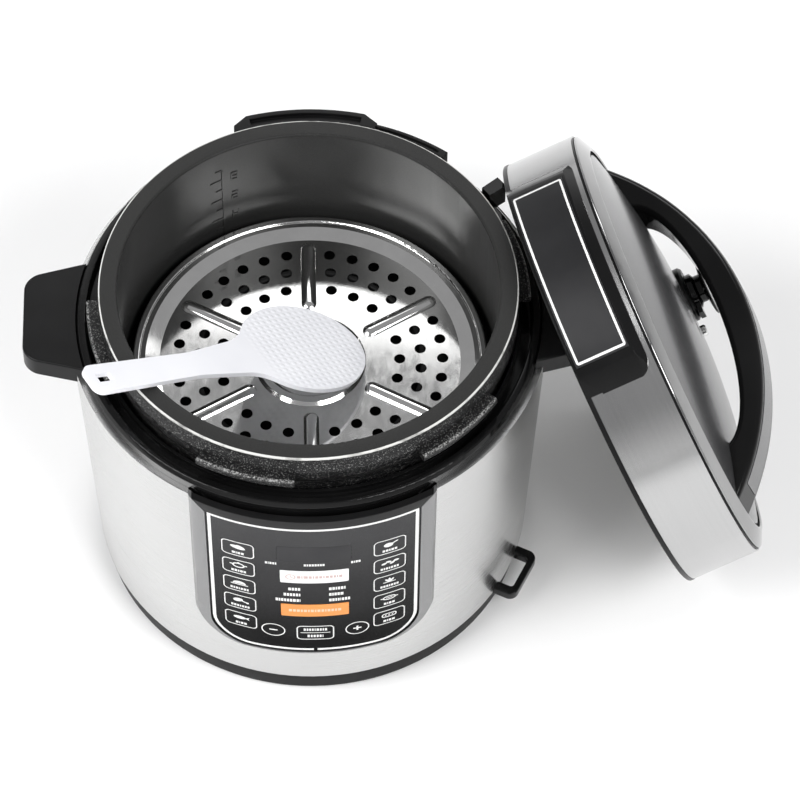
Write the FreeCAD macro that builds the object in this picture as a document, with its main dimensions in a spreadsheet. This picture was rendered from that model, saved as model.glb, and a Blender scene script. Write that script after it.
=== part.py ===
import FreeCAD, Part
import math
import os
import Sketcher

# Electric pressure cooker, 6 litre class, with its lid standing beside it.
# Frame: millimetres, +Z up, origin at the centre of the base on the table, control panel towards -Y.
# The lid is drawn closed and level about its own axis, then set in its leaning place as a whole.

SIZES = {
    "BaseLowRadius": 126.4, "BaseTopRadius": 129.4, "BaseTopZ": 18.2, "BaseGap": 2.0,
    "ShellLowRadius": 129.4, "ShellTopRadius": 136.7, "ShellTopZ": 198.4, "ShellWall": 0.8,
    "CollarRadius": 133.2, "CollarLowZ": 198.5, "CollarTopZ": 206.5, "CollarInner": 119.4,
    "GuardTopZ": 217.0, "GuardRadius": 139.5, "GuardStepRadius": 133.6, "GuardInner": 128.6,
    "TabRadius": 142.0, "TabTopZ": 214.0,
    "HandleReach": 163.0, "HandleRootHalf": 39.2, "HandleEndHalf": 28.6, "HandleTopZ": 206.0,
    "HandleThick": 13.0, "HandleWall": 3.0,
    "OuterPotInner": 112.0, "OuterPotWall": 3.5, "OuterPotFloorZ": 40.0, "OuterPotFloor": 4.0,
    "LugRadius": 126.5, "LugRootRadius": 119.5, "LugLowZ": 213.0, "LugTopZ": 219.0, "LugAngle": 26.0,
    "PotInner": 108.4, "PotWall": 1.8, "PotLipRadius": 119.0, "PotLipTopZ": 231.6, "PotLip": 2.0,
    "PotBottomZ": 67.0, "PotFloor": 3.0, "PotCorner": 16.0,
    "ShieldRadius": 118.1, "ShieldWall": 0.6, "ShieldLowZ": 30.0, "ShieldTopZ": 188.0,
    "PlateRadius": 86.0, "PlateLowZ": 55.0, "PlateTopZ": 66.9, "PlateHole": 15.0,
    "ElementRadius": 62.0, "ElementWire": 3.1, "PlungerRadius": 14.0, "PlungerTravel": 2.0,
    "SpringRadius": 8.0, "SpringWire": 0.7,
    "PanelProud": 2.2, "OverlayProud": 1.5, "OverlayThick": 1.8,
    "FrameHalf": 69.0, "FrameLowZ": 48.5, "FrameCorner": 30.0, "FrameBevel": 1.8,
    "OverlayHalf": 60.2, "OverlayLowZ": 51.6, "OverlayTopZ": 190.2, "OverlayCorner": 22.0,
    "KeyX": 42.8, "KeyWidth": 18.6, "KeyHeight": 15.6, "KeyPitch": 20.0, "KeyLowestZ": 79.0,
    "KeyCorner": 3.0, "KeyGap": 0.3, "KeyThick": 1.4,
    "BarWidth": 39.0, "BarHeight": 13.4, "TimeBarZ": 137.0, "FeatureBarZ": 99.0,
    "RoundKeyX": 24.3, "RoundKeyZ": 74.4, "RoundKeyRadius": 7.2,
    "MiddleKeyWidth": 22.0, "MiddleKeyHeight": 16.0, "MiddleKeyZ": 73.4,
    "WindowWidth": 42.0, "WindowHeight": 16.0, "WindowZ": 162.0,
    "BoardY": 118.5, "BoardThick": 1.4, "BoardHalf": 49.5,
    "TrayRimRadius": 102.7, "TrayRimZ": 161.7, "TrayFloorRadius": 88.0, "TrayFloorZ": 157.2,
    "TraySheet": 0.8, "TrayHole": 3.3, "RibRadius": 6.0, "RibRise": 1.9,
    "StandRadius": 66.0, "StandWire": 2.0,
    "PaddleThick": 3.0, "BladeCentre": 154.0, "BladeHalfLength": 41.0, "BladeHalfWidth": 34.0,
    "PaddleEndHalf": 10.5, "PaddleNeckHalf": 9.0,
    "BracketWidth": 34.0, "BracketInside": 22.0, "BracketReach": 143.0, "BracketBar": 4.0,
    "BracketLowZ": 19.0, "BracketHeight": 6.0, "BracketAngle": -27.5,
    "InletWidth": 33.0, "InletLowZ": 24.0, "InletHeight": 25.0,
    "LidRadius": 133.3, "LidStripRadius": 133.6, "LidStripZ": 3.0, "LidBandTopZ": 44.7,
    "LidShroudInner": 130.0, "BevelTopZ": 50.8, "BevelInner": 120.6, "DomeRadius": 118.4,
    "DomeEdgeZ": 49.6, "DomeTopZ": 65.0, "DomeWall": 2.6,
    "ArchHalf": 118.0, "ArchTopZ": 98.0, "ArchFootZ": 50.0, "ArchWidth": 30.0,
    "OpeningHalf": 84.0, "OpeningRise": 28.5, "OpeningFootZ": 52.0,
    "FairingRadius": 138.2, "FairingTopZ": 41.0, "BadgeHalf": 58.5, "BadgeLowZ": 2.6, "BadgeTopZ": 34.6,
    "ValveX": -42.0, "ValveY": 34.0, "ValveCapRadius": 18.0, "ValveTopZ": 77.5,
    "FloatX": -15.0, "FloatY": 34.0, "FloatRadius": 3.5,
    "SkirtRadius": 129.5, "SkirtWall": 2.0, "LidLugInner": 121.0, "LidLugLowZ": 1.6, "LidLugTopZ": 5.0,
    "SealLowZ": 24.5, "SealTopZ": 29.8, "PlateLidLowZ": 30.0, "PlateLidTopZ": 33.0,
    "LidCentreX": 169.4, "LidCentreY": 10.1, "LidCentreZ": 125.3,
    "LidElevation": 20.6, "LidAzimuth": 14.1, "LidSpin": -85.0,
}

doc = FreeCAD.newDocument("pressure_cooker")
sheet = doc.addObject("Spreadsheet::Sheet", "Sizes")
for row, (alias, number) in enumerate(SIZES.items(), start=1):
    sheet.set("A%d" % row, alias)
    sheet.set("B%d" % row, str(number))
    sheet.setAlias("B%d" % row, alias)
doc.recompute()


class Dim:
    """A size from the sheet, or one worked out from such sizes: its number and its expression."""

    def __init__(self, number, text):
        self.number = number
        self.text = text

    def __add__(self, other):
        other = dim(other)
        return Dim(self.number + other.number, "(%s + %s)" % (self.text, other.text))

    def __radd__(self, other):
        return dim(other) + self

    def __sub__(self, other):
        other = dim(other)
        return Dim(self.number - other.number, "(%s - %s)" % (self.text, other.text))

    def __rsub__(self, other):
        return dim(other) - self

    def __mul__(self, other):
        other = dim(other)
        return Dim(self.number * other.number, "(%s * %s)" % (self.text, other.text))

    def __rmul__(self, other):
        return dim(other) * self

    def __truediv__(self, other):
        other = dim(other)
        return Dim(self.number / other.number, "(%s / %s)" % (self.text, other.text))

    def __neg__(self):
        return 0 - self


def dim(value):
    """Turns a plain number into a Dim."""
    return value if isinstance(value, Dim) else Dim(float(value), "(%r)" % float(value))


class SheetSizes:
    """Gives each cell of the sheet as a Dim by its alias."""

    def __getattr__(self, alias):
        return Dim(SIZES[alias], "Sizes." + alias)


S = SheetSizes()
NODES = []


def bind(item, prop, value):
    """Binds a property to the sheet."""
    item.setExpression(prop, dim(value).text)


def node(name, item):
    """Marks an object as a sub-part under its file name."""
    item.Label = name
    NODES.append(item)
    return item


def shell_radius(height):
    """Outer radius of the tapered steel shell at a height."""
    slope = (S.ShellTopRadius - S.ShellLowRadius) / (S.ShellTopZ - S.BaseTopZ)
    return S.ShellLowRadius + slope * (height - S.BaseTopZ)


# ---------------------------------------------------------------- sketches and bodies

def new_sketch(body, name, role):
    """An empty sketch on one of the body's own origin planes."""
    sketch = body.newObject("Sketcher::SketchObject", name)
    plane = [item for item in body.Origin.OriginFeatures if item.Role == role][0]
    sketch.AttachmentSupport = [(plane, "")]
    sketch.MapMode = "FlatFace"
    return sketch


def pin_point(sketch, line, end, point):
    """Holds one end of an edge at a point measured from the sketch origin."""
    for kind, value in zip(("DistanceX", "DistanceY"), point):
        index = sketch.addConstraint(Sketcher.Constraint(kind, -1, 1, line, end, dim(value).number))
        sketch.setExpression("Constraints[%d]" % index, dim(value).text)


def root(value):
    """Square root of a Dim."""
    return Dim(math.sqrt(value.number), "sqrt(%s)" % value.text)


def vector(point):
    return FreeCAD.Vector(dim(point[0]).number, dim(point[1]).number, 0)


def draw_polygon(sketch, points):
    """A closed outline of straight edges through the points."""
    first = sketch.GeometryCount
    count = len(points)
    for index, start in enumerate(points):
        end = points[(index + 1) % count]
        sketch.addGeometry(Part.LineSegment(vector(start), vector(end)))
    for index, start in enumerate(points):
        after = first + (index + 1) % count
        sketch.addConstraint(Sketcher.Constraint("Coincident", first + index, 2, after, 1))
        pin_point(sketch, first + index, 1, start)


def draw_circle(sketch, centre, radius):
    """A full circle."""
    middle = vector(centre)
    index = sketch.addGeometry(Part.Circle(middle, FreeCAD.Vector(0, 0, 1), dim(radius).number))
    pin_point(sketch, index, 3, centre)
    size = sketch.addConstraint(Sketcher.Constraint("Radius", index, dim(radius).number))
    sketch.setExpression("Constraints[%d]" % size, dim(radius).text)


def draw_rounded(sketch, centre, width, height, radius):
    """A rectangle with four equal round corners, pinned by the ends of its straight edges."""
    across, up, corner = dim(width) / 2, dim(height) / 2, dim(radius)
    corners = ((1, 1, 0), (-1, 1, 90), (-1, -1, 180), (1, -1, 270))
    ends = []
    for side, level, start in corners:
        x = centre[0] + side * (across - corner)
        y = centre[1] + level * (up - corner)
        circle = Part.Circle(vector((x, y)), FreeCAD.Vector(0, 0, 1), corner.number)
        arc = Part.ArcOfCircle(circle, math.radians(start), math.radians(start + 90))
        index = sketch.addGeometry(arc)
        pin_point(sketch, index, 3, (x, y))
        ends.append(index)
    for place, index in enumerate(ends):
        after = ends[(place + 1) % 4]
        start = sketch.getPoint(index, 2)
        end = sketch.getPoint(after, 1)
        line = sketch.addGeometry(Part.LineSegment(start, end))
        sketch.addConstraint(Sketcher.Constraint("Tangent", index, 2, line, 1))
        sketch.addConstraint(Sketcher.Constraint("Tangent", line, 2, after, 1))
    size = sketch.addConstraint(Sketcher.Constraint("Radius", ends[0], corner.number))
    sketch.setExpression("Constraints[%d]" % size, corner.text)


def revolved(name, points):
    """A body turned about Z from an outline of (radius, height) points."""
    body = doc.addObject("PartDesign::Body", name)
    sketch = new_sketch(body, name + "_outline", "XZ_Plane")
    draw_polygon(sketch, points)
    turn = body.newObject("PartDesign::Revolution", name + "_turn")
    turn.Profile = sketch
    turn.ReferenceAxis = (sketch, ["V_Axis"])
    turn.Angle = 360
    doc.recompute()
    return body


def padded(name, role, draw, length, centred=False):
    """A body pushed out of a drawn outline: along +Z from XY_Plane, along -Y from XZ_Plane."""
    body = doc.addObject("PartDesign::Body", name)
    sketch = new_sketch(body, name + "_outline", role)
    draw(sketch)
    pad = body.newObject("PartDesign::Pad", name + "_pad")
    pad.Profile = sketch
    pad.SideType = "Symmetric" if centred else "One side"
    bind(pad, "Length", length)
    doc.recompute()
    return body


def round_edges(body, radius, wanted, kind="Fillet"):
    """Rounds or chamfers the body's edges whose middle point passes the test."""
    base = body.Tip
    names = []
    for index, edge in enumerate(base.Shape.Edges, start=1):
        middle = edge.valueAt((edge.FirstParameter + edge.LastParameter) / 2)
        if wanted(edge, middle):
            names.append("Edge%d" % index)
    if not names:
        raise RuntimeError("no edge to round on " + body.Label)
    feature = body.newObject("PartDesign::" + kind, body.Name + "_" + kind.lower() + str(len(names)))
    feature.Base = (base, names)
    bind(feature, "Radius" if kind == "Fillet" else "Size", radius)
    doc.recompute()
    if "Invalid" in feature.State or feature.Shape.isNull() or not feature.Shape.isValid():
        raise RuntimeError("rounding failed on " + body.Label)
    return body


def ring_edges(*places):
    """A test for round edges about Z at given (radius, height) places."""
    def test(edge, middle):
        reach = math.hypot(middle.x, middle.y)
        return any(abs(reach - dim(r).number) < 0.05 and abs(middle.z - dim(z).number) < 0.05
                   for r, z in places)
    return test


# ---------------------------------------------------------------- primitives and booleans

def box(name, x, y, z, length, width, height):
    item = doc.addObject("Part::Box", name)
    for prop, value in (("Length", length), ("Width", width), ("Height", height)):
        bind(item, prop, value)
    for axis, value in (("x", x), ("y", y), ("z", z)):
        bind(item, "Placement.Base." + axis, value)
    return item


def cylinder(name, radius, height, x=0, y=0, z=0, angle=360, forward=False):
    """An upright cylinder, or one that runs forward along -Y from its base point."""
    item = doc.addObject("Part::Cylinder", name)
    bind(item, "Radius", radius)
    bind(item, "Height", height)
    bind(item, "Angle", angle)
    if forward:
        item.Placement.Rotation = FreeCAD.Rotation(FreeCAD.Vector(1, 0, 0), 90)
    for axis, value in (("x", x), ("y", y), ("z", z)):
        bind(item, "Placement.Base." + axis, value)
    return item


def cut(name, base, tool):
    item = doc.addObject("Part::Cut", name)
    item.Base = base
    item.Tool = tool
    return item


def common(name, base, tool):
    item = doc.addObject("Part::Common", name)
    item.Base = base
    item.Tool = tool
    return item


def fuse(name, items):
    item = doc.addObject("Part::MultiFuse", name)
    item.Shapes = items
    return item


def gather(name, items):
    """Separate solids kept side by side in one node."""
    item = doc.addObject("Part::Compound", name)
    item.Links = items
    return item


def turned(item, degrees):
    """Turns an object about the Z axis through the origin."""
    spin = FreeCAD.Rotation(FreeCAD.Vector(0, 0, 1), degrees)
    item.Placement = FreeCAD.Placement(FreeCAD.Vector(0, 0, 0), spin) * item.Placement
    return item


def sector(name, inner, outer, low, high, start, sweep):
    """A slice of a ring between two radii, from a start angle through a sweep, in degrees."""
    full = cylinder(name + "_outer", outer, dim(high) - low, z=low, angle=sweep)
    core = cylinder(name + "_inner", inner, dim(high) - low + 2, z=dim(low) - 1)
    return turned(cut(name, full, core), start)


# ---------------------------------------------------------------- base and casing

def make_base():
    ring_low = S.BaseLowRadius - 3.9
    node("base_ring", revolved("base_ring", [
        (ring_low, S.BaseGap), (S.BaseLowRadius, S.BaseGap), (S.BaseTopRadius, S.BaseTopZ),
        (S.BaseTopRadius - 1.1, S.BaseTopZ), (S.BaseTopRadius - 1.1, S.BaseTopZ + 3.8),
        (S.BaseTopRadius - 2.8, S.BaseTopZ + 3.8), (S.BaseTopRadius - 2.8, S.BaseTopZ - 2.2),
        (ring_low + 1.3, S.BaseGap + 3), (ring_low, S.BaseGap + 3)]))

    pan_radius = ring_low - 0.3
    floor_low = S.BaseGap + 1
    pan = revolved("pan_plain", [
        (0, floor_low), (pan_radius, floor_low), (pan_radius, 14), (pan_radius - 2.2, 14),
        (pan_radius - 2.2, floor_low + 2.5), (0, floor_low + 2.5)])
    vent_sketch = new_sketch(pan, "vent_outline", "XY_Plane")
    draw_rounded(vent_sketch, (dim(76), dim(0)), 30, 5, 2.4)
    vents = pan.newObject("PartDesign::Pocket", "vent")
    vents.Profile = vent_sketch
    vents.Reversed = True
    vents.Length = 12
    doc.recompute()
    pattern = pan.newObject("PartDesign::PolarPattern", "vent_ring")
    pattern.Originals = [vents]
    pattern.Axis = (vent_sketch, ["N_Axis"])
    pattern.Angle = 360
    pattern.Occurrences = 12
    pan.Tip = pattern
    doc.recompute()
    node("base_pan", pan)

    feet = []
    reach = 104 * math.sqrt(0.5)
    for index, (x, y) in enumerate(((0, 0), (1, 1), (-1, 1), (-1, -1), (1, -1))):
        foot = doc.addObject("Part::Cone", "foot_%d" % index)
        foot.Radius1 = 8
        foot.Radius2 = 9
        bind(foot, "Height", S.BaseGap + 0.9)
        foot.Placement.Base = FreeCAD.Vector(x * reach, y * reach, 0)
        feet.append(foot)
    node("rubber_feet", gather("rubber_feet", feet))


def make_shell():
    low, high = S.ShellLowRadius, S.ShellTopRadius
    skin = revolved("shell_skin", [
        (low - S.ShellWall, S.BaseTopZ + 0.1), (low, S.BaseTopZ + 0.1), (high, S.ShellTopZ),
        (S.CollarRadius - 0.6, S.ShellTopZ), (S.CollarRadius - 0.6, S.ShellTopZ - S.ShellWall),
        (high - 0.84, S.ShellTopZ - S.ShellWall)])
    window = arch_outline(S.FrameHalf + 0.1, S.FrameLowZ - 0.1, S.ShellTopZ + 5, S.FrameCorner)
    inlet_gap = box("inlet_gap", -(S.InletWidth / 2) - 0.3, 90, S.InletLowZ - 0.3,
                    S.InletWidth + 0.6, 60, S.InletHeight + 0.6)
    node("steel_shell", cut("steel_shell", skin, fuse("shell_gaps", [window, inlet_gap])))


def make_collar():
    outer, top, inner = S.CollarRadius, S.CollarTopZ, S.CollarInner
    ring = revolved("collar_ring", [
        (outer - 0.9, S.CollarLowZ), (outer, S.CollarLowZ), (outer, top - 2.6), (outer - 1.5, top),
        (outer - 5.8, top), (outer - 6.8, top - 6.1), (inner + 2.2, top - 6.1), (inner + 1.8, top - 3.9),
        (inner, top - 3.9), (inner, 190), (inner + 2, 190), (inner + 2, top - 8.9),
        (outer - 2.6, top - 8.9), (outer - 2.6, 192), (outer - 0.9, 192)])
    round_edges(ring, 0.9, ring_edges((outer, top - 2.6), (outer - 1.5, top), (outer - 5.8, top)))
    tab = sector("stop_tab", 130, S.TabRadius, S.CollarLowZ, S.TabTopZ, 35.4, 3.1)
    tab_clear = cylinder("tab_clear", outer - 0.5, top - 2 - S.CollarLowZ, z=S.CollarLowZ)
    node("top_collar", fuse("top_collar", [ring, cut("stop_tab_trimmed", tab, tab_clear)]))


def make_guard():
    low = S.CollarLowZ + 0.1
    ring = sector("guard_ring", S.GuardInner, S.GuardRadius, low, S.GuardTopZ, 60, 60)
    plan = padded("guard_plan", "XY_Plane", lambda sketch: draw_polygon(sketch, [
        (-42, 100), (42, 100), (42, 128), (34.5, 135.5), (34.5, 145), (-34.5, 145), (-34.5, 135.5),
        (-42, 128)]), S.GuardTopZ + 1)
    block = common("guard_block", ring, plan)
    step = sector("guard_step", S.GuardInner, S.GuardStepRadius + 0.6, low, S.GuardTopZ - 0.6, 52, 23)
    body = fuse("guard_plain", [block, step])
    collar_room = cylinder("guard_collar_room", S.CollarRadius + 0.1, S.CollarTopZ + 0.1 - low + 1, z=low - 1)
    groove = sector("guard_groove", S.GuardInner + 2.4, S.GuardRadius - 3, S.GuardTopZ - 2.4,
                    S.GuardTopZ + 1, 76, 28)
    step_groove = sector("guard_step_groove", S.GuardInner + 1.8, S.GuardStepRadius - 1.4,
                         S.GuardTopZ - 2.4, S.GuardTopZ + 1, 54, 18)
    node("rear_guard", cut("rear_guard", body, fuse("guard_cuts", [collar_room, groove, step_groove])))


def make_handle(name, side):
    """One slab handle; side is -1 at the left and 1 at the right."""
    low = S.HandleTopZ - S.HandleThick
    root, reach = dim(122), S.HandleReach
    slab = padded(name + "_slab", "XY_Plane", lambda sketch: draw_polygon(sketch, [
        (side * root, -S.HandleRootHalf), (side * reach, -S.HandleEndHalf),
        (side * reach, S.HandleEndHalf), (side * root, S.HandleRootHalf)]), S.HandleThick)
    round_edges(slab, 12, lambda edge, middle: edge.Length < 14 and abs(middle.x) > 150)
    round_edges(slab, 1.2, lambda edge, middle: abs(middle.z - S.HandleThick.number) < 0.01
                and abs(middle.x) > 125)
    slab.Placement.Base.z = low.number
    hollow = padded(name + "_hollow", "XY_Plane", lambda sketch: draw_polygon(sketch, [
        (side * dim(141), -(S.HandleRootHalf - 8)), (side * (reach - S.HandleWall), 6 - S.HandleEndHalf),
        (side * (reach - S.HandleWall), S.HandleEndHalf - 6), (side * dim(141), S.HandleRootHalf - 8)]),
        S.HandleThick - S.HandleWall)
    hollow.Placement.Base.z = low.number - 0.01
    low_room = cylinder(name + "_shell_room", S.ShellTopRadius + 0.3, 20, z=S.ShellTopZ - 19.9)
    high_room = cylinder(name + "_collar_room", S.CollarRadius + 0.1, 20, z=S.ShellTopZ)
    node(name, cut(name, slab, fuse(name + "_cuts", [hollow, low_room, high_room])))


def make_bracket():
    """A U-shaped loop low on the right side."""
    start = shell_radius(S.BracketLowZ) - 3
    outer = box("bracket_outer", start, -(S.BracketWidth / 2), S.BracketLowZ,
                S.BracketReach - start, S.BracketWidth, S.BracketHeight)
    inner = box("bracket_inner", start - 1, -(S.BracketInside / 2), S.BracketLowZ - 1,
                S.BracketReach - S.BracketBar - start + 1, S.BracketInside, S.BracketHeight + 2)
    loop = cut("bracket_loop", outer, inner)
    doc.recompute()
    rounded = doc.addObject("Part::Fillet", "bracket_rounded")
    rounded.Base = loop
    picked = []
    for index, edge in enumerate(loop.Shape.Edges, start=1):
        middle = edge.valueAt((edge.FirstParameter + edge.LastParameter) / 2)
        upright = abs(edge.tangentAt(edge.FirstParameter).z) > 0.99
        if upright and middle.x > S.BracketReach.number - S.BracketBar.number - 0.1:
            size = 5.5 if middle.x > S.BracketReach.number - 0.1 else 2.0
            picked.append((index, size, size))
    rounded.Edges = picked
    turned(rounded, S.BracketAngle.number)
    room = doc.addObject("Part::Cone", "bracket_room")
    bind(room, "Radius1", shell_radius(S.BracketLowZ - 2) + 0.12)
    bind(room, "Radius2", shell_radius(S.BracketLowZ + 10) + 0.12)
    room.Height = 12
    bind(room, "Placement.Base.z", S.BracketLowZ - 2)
    node("side_bracket", cut("side_bracket", rounded, room))


# ---------------------------------------------------------------- control panel

def panel_band(name, outside, inside):
    """A tapered ring that follows the shell, between two offsets from its face."""
    low, high = S.FrameLowZ - 6, S.ShellTopZ
    return revolved(name, [
        (shell_radius(low) + inside, low), (shell_radius(low) + outside, low),
        (shell_radius(high) + outside, high), (shell_radius(high) + inside, high)])


def arch_outline(half, low, top, corner):
    """An upright outline with two round lower corners, wide enough to cover the panel's front."""
    def draw(sketch):
        draw_polygon(sketch, [(-half, low), (half, low), (half, top), (-half, top)])
    body = padded("outline", "XZ_Plane", draw, 160)
    return round_edges(body, corner, lambda edge, middle: edge.Length > 100
                       and abs(middle.z - dim(low).number) < 0.01 and abs(middle.x) > 1)


def key_places():
    """Each key's name, centre, width, height and corner radius; a height of None is a round key."""
    places = []
    for side, word in ((-1, "left"), (1, "right")):
        for row in range(5):
            centre = (side * S.KeyX, S.KeyLowestZ + (4 - row) * S.KeyPitch)
            places.append(("key_%s_%d" % (word, row + 1), centre, S.KeyWidth, S.KeyHeight, S.KeyCorner))
    places.append(("key_time", (dim(0), S.TimeBarZ), S.BarWidth, S.BarHeight, dim(0.8)))
    places.append(("key_feature", (dim(0), S.FeatureBarZ), S.BarWidth, S.BarHeight, dim(0.8)))
    places.append(("key_cancel", (dim(0), S.MiddleKeyZ), S.MiddleKeyWidth, S.MiddleKeyHeight, S.KeyCorner))
    places.append(("key_minus", (-S.RoundKeyX, S.RoundKeyZ), S.RoundKeyRadius * 2, None, None))
    places.append(("key_plus", (S.RoundKeyX, S.RoundKeyZ), S.RoundKeyRadius * 2, None, None))
    return places


def draw_key(sketch, place, grow):
    name, centre, width, height, corner = place
    if height is None:
        draw_circle(sketch, centre, width / 2 + grow)
    else:
        draw_rounded(sketch, centre, width + 2 * grow, height + 2 * grow, corner + grow)


def make_panel():
    apron_outline = padded("apron_outline", "XZ_Plane", lambda sketch: draw_polygon(sketch, [
        (-S.OverlayHalf, S.OverlayTopZ + 0.2), (S.OverlayHalf, S.OverlayTopZ + 0.2),
        (S.FrameHalf, S.ShellTopZ + 2), (-S.FrameHalf, S.ShellTopZ + 2)]), 160)
    node("panel_apron", common("panel_apron", panel_band("apron_band", S.PanelProud, -2.0), apron_outline))

    outer = arch_outline(S.FrameHalf, S.FrameLowZ, S.ShellTopZ + 4, S.FrameCorner)
    inner = arch_outline(S.OverlayHalf + 0.2, S.OverlayLowZ - 0.2, S.OverlayTopZ + 0.2, S.OverlayCorner)
    block = common("frame_block", panel_band("frame_band", S.PanelProud, -2.6), outer)
    top_gap = padded("frame_top_gap", "XZ_Plane", lambda sketch: draw_polygon(sketch, [
        (-(S.OverlayHalf + 0.2), S.OverlayTopZ), (S.OverlayHalf + 0.2, S.OverlayTopZ),
        (S.FrameHalf + 0.2, S.ShellTopZ + 2), (-(S.FrameHalf + 0.2), S.ShellTopZ + 2)]), 160)
    doc.recompute()
    bevelled = doc.addObject("Part::Chamfer", "frame_bevelled")
    bevelled.Base = block
    picked = []
    for index, edge in enumerate(block.Shape.Edges, start=1):
        middle = edge.valueAt((edge.FirstParameter + edge.LastParameter) / 2)
        proud = math.hypot(middle.x, middle.y) - shell_radius(middle.z).number
        if proud > S.PanelProud.number - 0.3 and middle.y < 0 and middle.z < S.ShellTopZ.number - 1:
            picked.append((index, S.FrameBevel.number, S.FrameBevel.number))
    bevelled.Edges = picked
    node("panel_frame", cut("panel_frame", bevelled, fuse("frame_gaps", [inner, top_gap])))

    places = key_places()
    groups = (places[:5], places[5:10], places[10:])
    holes = []
    for number, group in enumerate(groups):
        def draw(sketch, group=group):
            for place in group:
                draw_key(sketch, place, S.KeyGap)
        holes.append(padded("key_holes_%d" % number, "XZ_Plane", draw, 160))
    window_centre = (dim(0), S.WindowZ)
    holes.append(padded("window_hole", "XZ_Plane", lambda sketch: draw_rounded(
        sketch, window_centre, S.WindowWidth + 0.2, S.WindowHeight + 0.2, 1.6), 160))
    overlay_outline = arch_outline(S.OverlayHalf, S.OverlayLowZ, S.OverlayTopZ, S.OverlayCorner)
    overlay_inside = S.OverlayProud - S.OverlayThick
    sheet_block = common("overlay_block", panel_band("overlay_band", S.OverlayProud, overlay_inside),
                         overlay_outline)
    node("panel_overlay", cut("panel_overlay", sheet_block, fuse("overlay_holes", holes)))

    window = padded("window_outline", "XZ_Plane", lambda sketch: draw_rounded(
        sketch, window_centre, S.WindowWidth, S.WindowHeight, 1.5), 160)
    node("display_window", common("display_window", panel_band(
        "window_band", S.OverlayProud, overlay_inside), window))

    key_band = panel_band("key_band", S.OverlayProud, S.OverlayProud - S.KeyThick)
    for place in places:
        name = place[0]
        prism = padded(name + "_outline", "XZ_Plane", lambda sketch: draw_key(sketch, place, dim(0)), 160)
        node(name, common(name, key_band, prism))


def make_electronics():
    board = box("display_board", -S.BoardHalf, -S.BoardY - S.BoardThick, 60,
                2 * S.BoardHalf, S.BoardThick, 116)
    node("display_board", board)
    face = S.BoardY + S.BoardThick
    switches = []
    for name, (x, z), width, height, corner in key_places():
        back = shell_radius(z) + S.OverlayProud - S.KeyThick
        aside = S.KeyX + 2 if x.number else x
        tip = root(back * back - aside * aside) - 1.2
        case = box(name + "_switch_case", x - 3, -face - 1.8, z - 3, 6, 1.8, 6)
        stem = cylinder(name + "_switch_stem", 1.7, tip - face - 1.8, x, -face - 1.8, z, forward=True)
        switches.append(fuse(name + "_switch", [case, stem]))
    node("tact_switches", gather("tact_switches", switches))

    posts = [cylinder("board_post_%d" % index, 2.5, 6.4, x, y, 5.6)
             for index, (x, y) in enumerate(((-34, 42), (34, 42), (-34, 88), (34, 88)))]
    parts = [
        box("main_board", -40, 36, 12, 80, 58, 1.6),
        box("transformer", -34, 48, 13.6, 26, 24, 14), box("relay", 4, 46, 13.6, 20, 16, 12),
        box("terminal_strip", -10, 78, 13.6, 36, 9, 8), cylinder("capacitor_a", 5, 13, 32, 52, 13.6),
        cylinder("capacitor_b", 4, 11, 32, 66, 13.6)]
    node("power_board", gather("power_board", posts + parts))

    case = box("inlet_case", -(S.InletWidth / 2), 119.6, S.InletLowZ, S.InletWidth, 11.6, S.InletHeight)
    recess = box("inlet_recess", -12, 122, S.InletLowZ + 4.5, 24, 20, S.InletHeight - 9)
    node("power_inlet", cut("power_inlet", case, recess))
    pins = [box("inlet_pin_%d" % index, x - 1, 122, S.InletLowZ + up, 2, 8, 4)
            for index, (x, up) in enumerate(((-7, 8), (0, 13), (7, 8)))]
    node("inlet_pins", gather("inlet_pins", pins))


# ---------------------------------------------------------------- heat and pressure vessel

def make_outer_pot():
    inner, wall, floor = S.OuterPotInner, S.OuterPotWall, S.OuterPotFloorZ
    root, low, high = S.LugRootRadius, S.LugLowZ, S.LugTopZ
    rim_top = S.PotLipTopZ - S.PotLip - 0.1
    vessel = revolved("vessel", [
        (6, floor), (inner + wall, floor), (inner + wall, 204), (root, low), (root, high),
        (root - 2.2, high + 6), (root - 2.6, rim_top), (inner, rim_top), (inner, floor + S.OuterPotFloor),
        (6, floor + S.OuterPotFloor)])
    round_edges(vessel, 6, ring_edges((inner + wall, floor), (inner, floor + S.OuterPotFloor)))
    round_edges(vessel, 2.0, ring_edges((root, high), (root - 2.2, high + 6)))
    lugs = []
    for index in range(6):
        start = -90 - 17.6 - S.LugAngle.number / 2 + 60 * index
        lugs.append(sector("pot_lug_%d" % index, inner + 2, S.LugRadius, low, high, start, S.LugAngle))
    solid = fuse("vessel_with_lugs", [vessel] + lugs)
    doc.recompute()
    soft = doc.addObject("Part::Fillet", "vessel_soft")
    soft.Base = solid
    picked = []
    for index, edge in enumerate(solid.Shape.Edges, start=1):
        middle = edge.valueAt((edge.FirstParameter + edge.LastParameter) / 2)
        outside = math.hypot(middle.x, middle.y) > S.LugRadius.number - 0.2
        if outside and edge.Length > 20:
            picked.append((index, 2.0, 2.0))
    soft.Edges = picked
    holes = [cylinder("element_hole_%d" % index, 6, 12, x, y, floor - 4)
             for index, (x, y) in enumerate(element_ends())]
    node("outer_pot", cut("outer_pot", soft, fuse("vessel_holes", holes)))


def element_ends():
    """Plan positions of the heating tube's two ends."""
    spread = math.radians(20)
    reach = S.ElementRadius.number
    return [(reach * math.cos(spread), side * reach * math.sin(spread)) for side in (-1, 1)]


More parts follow.
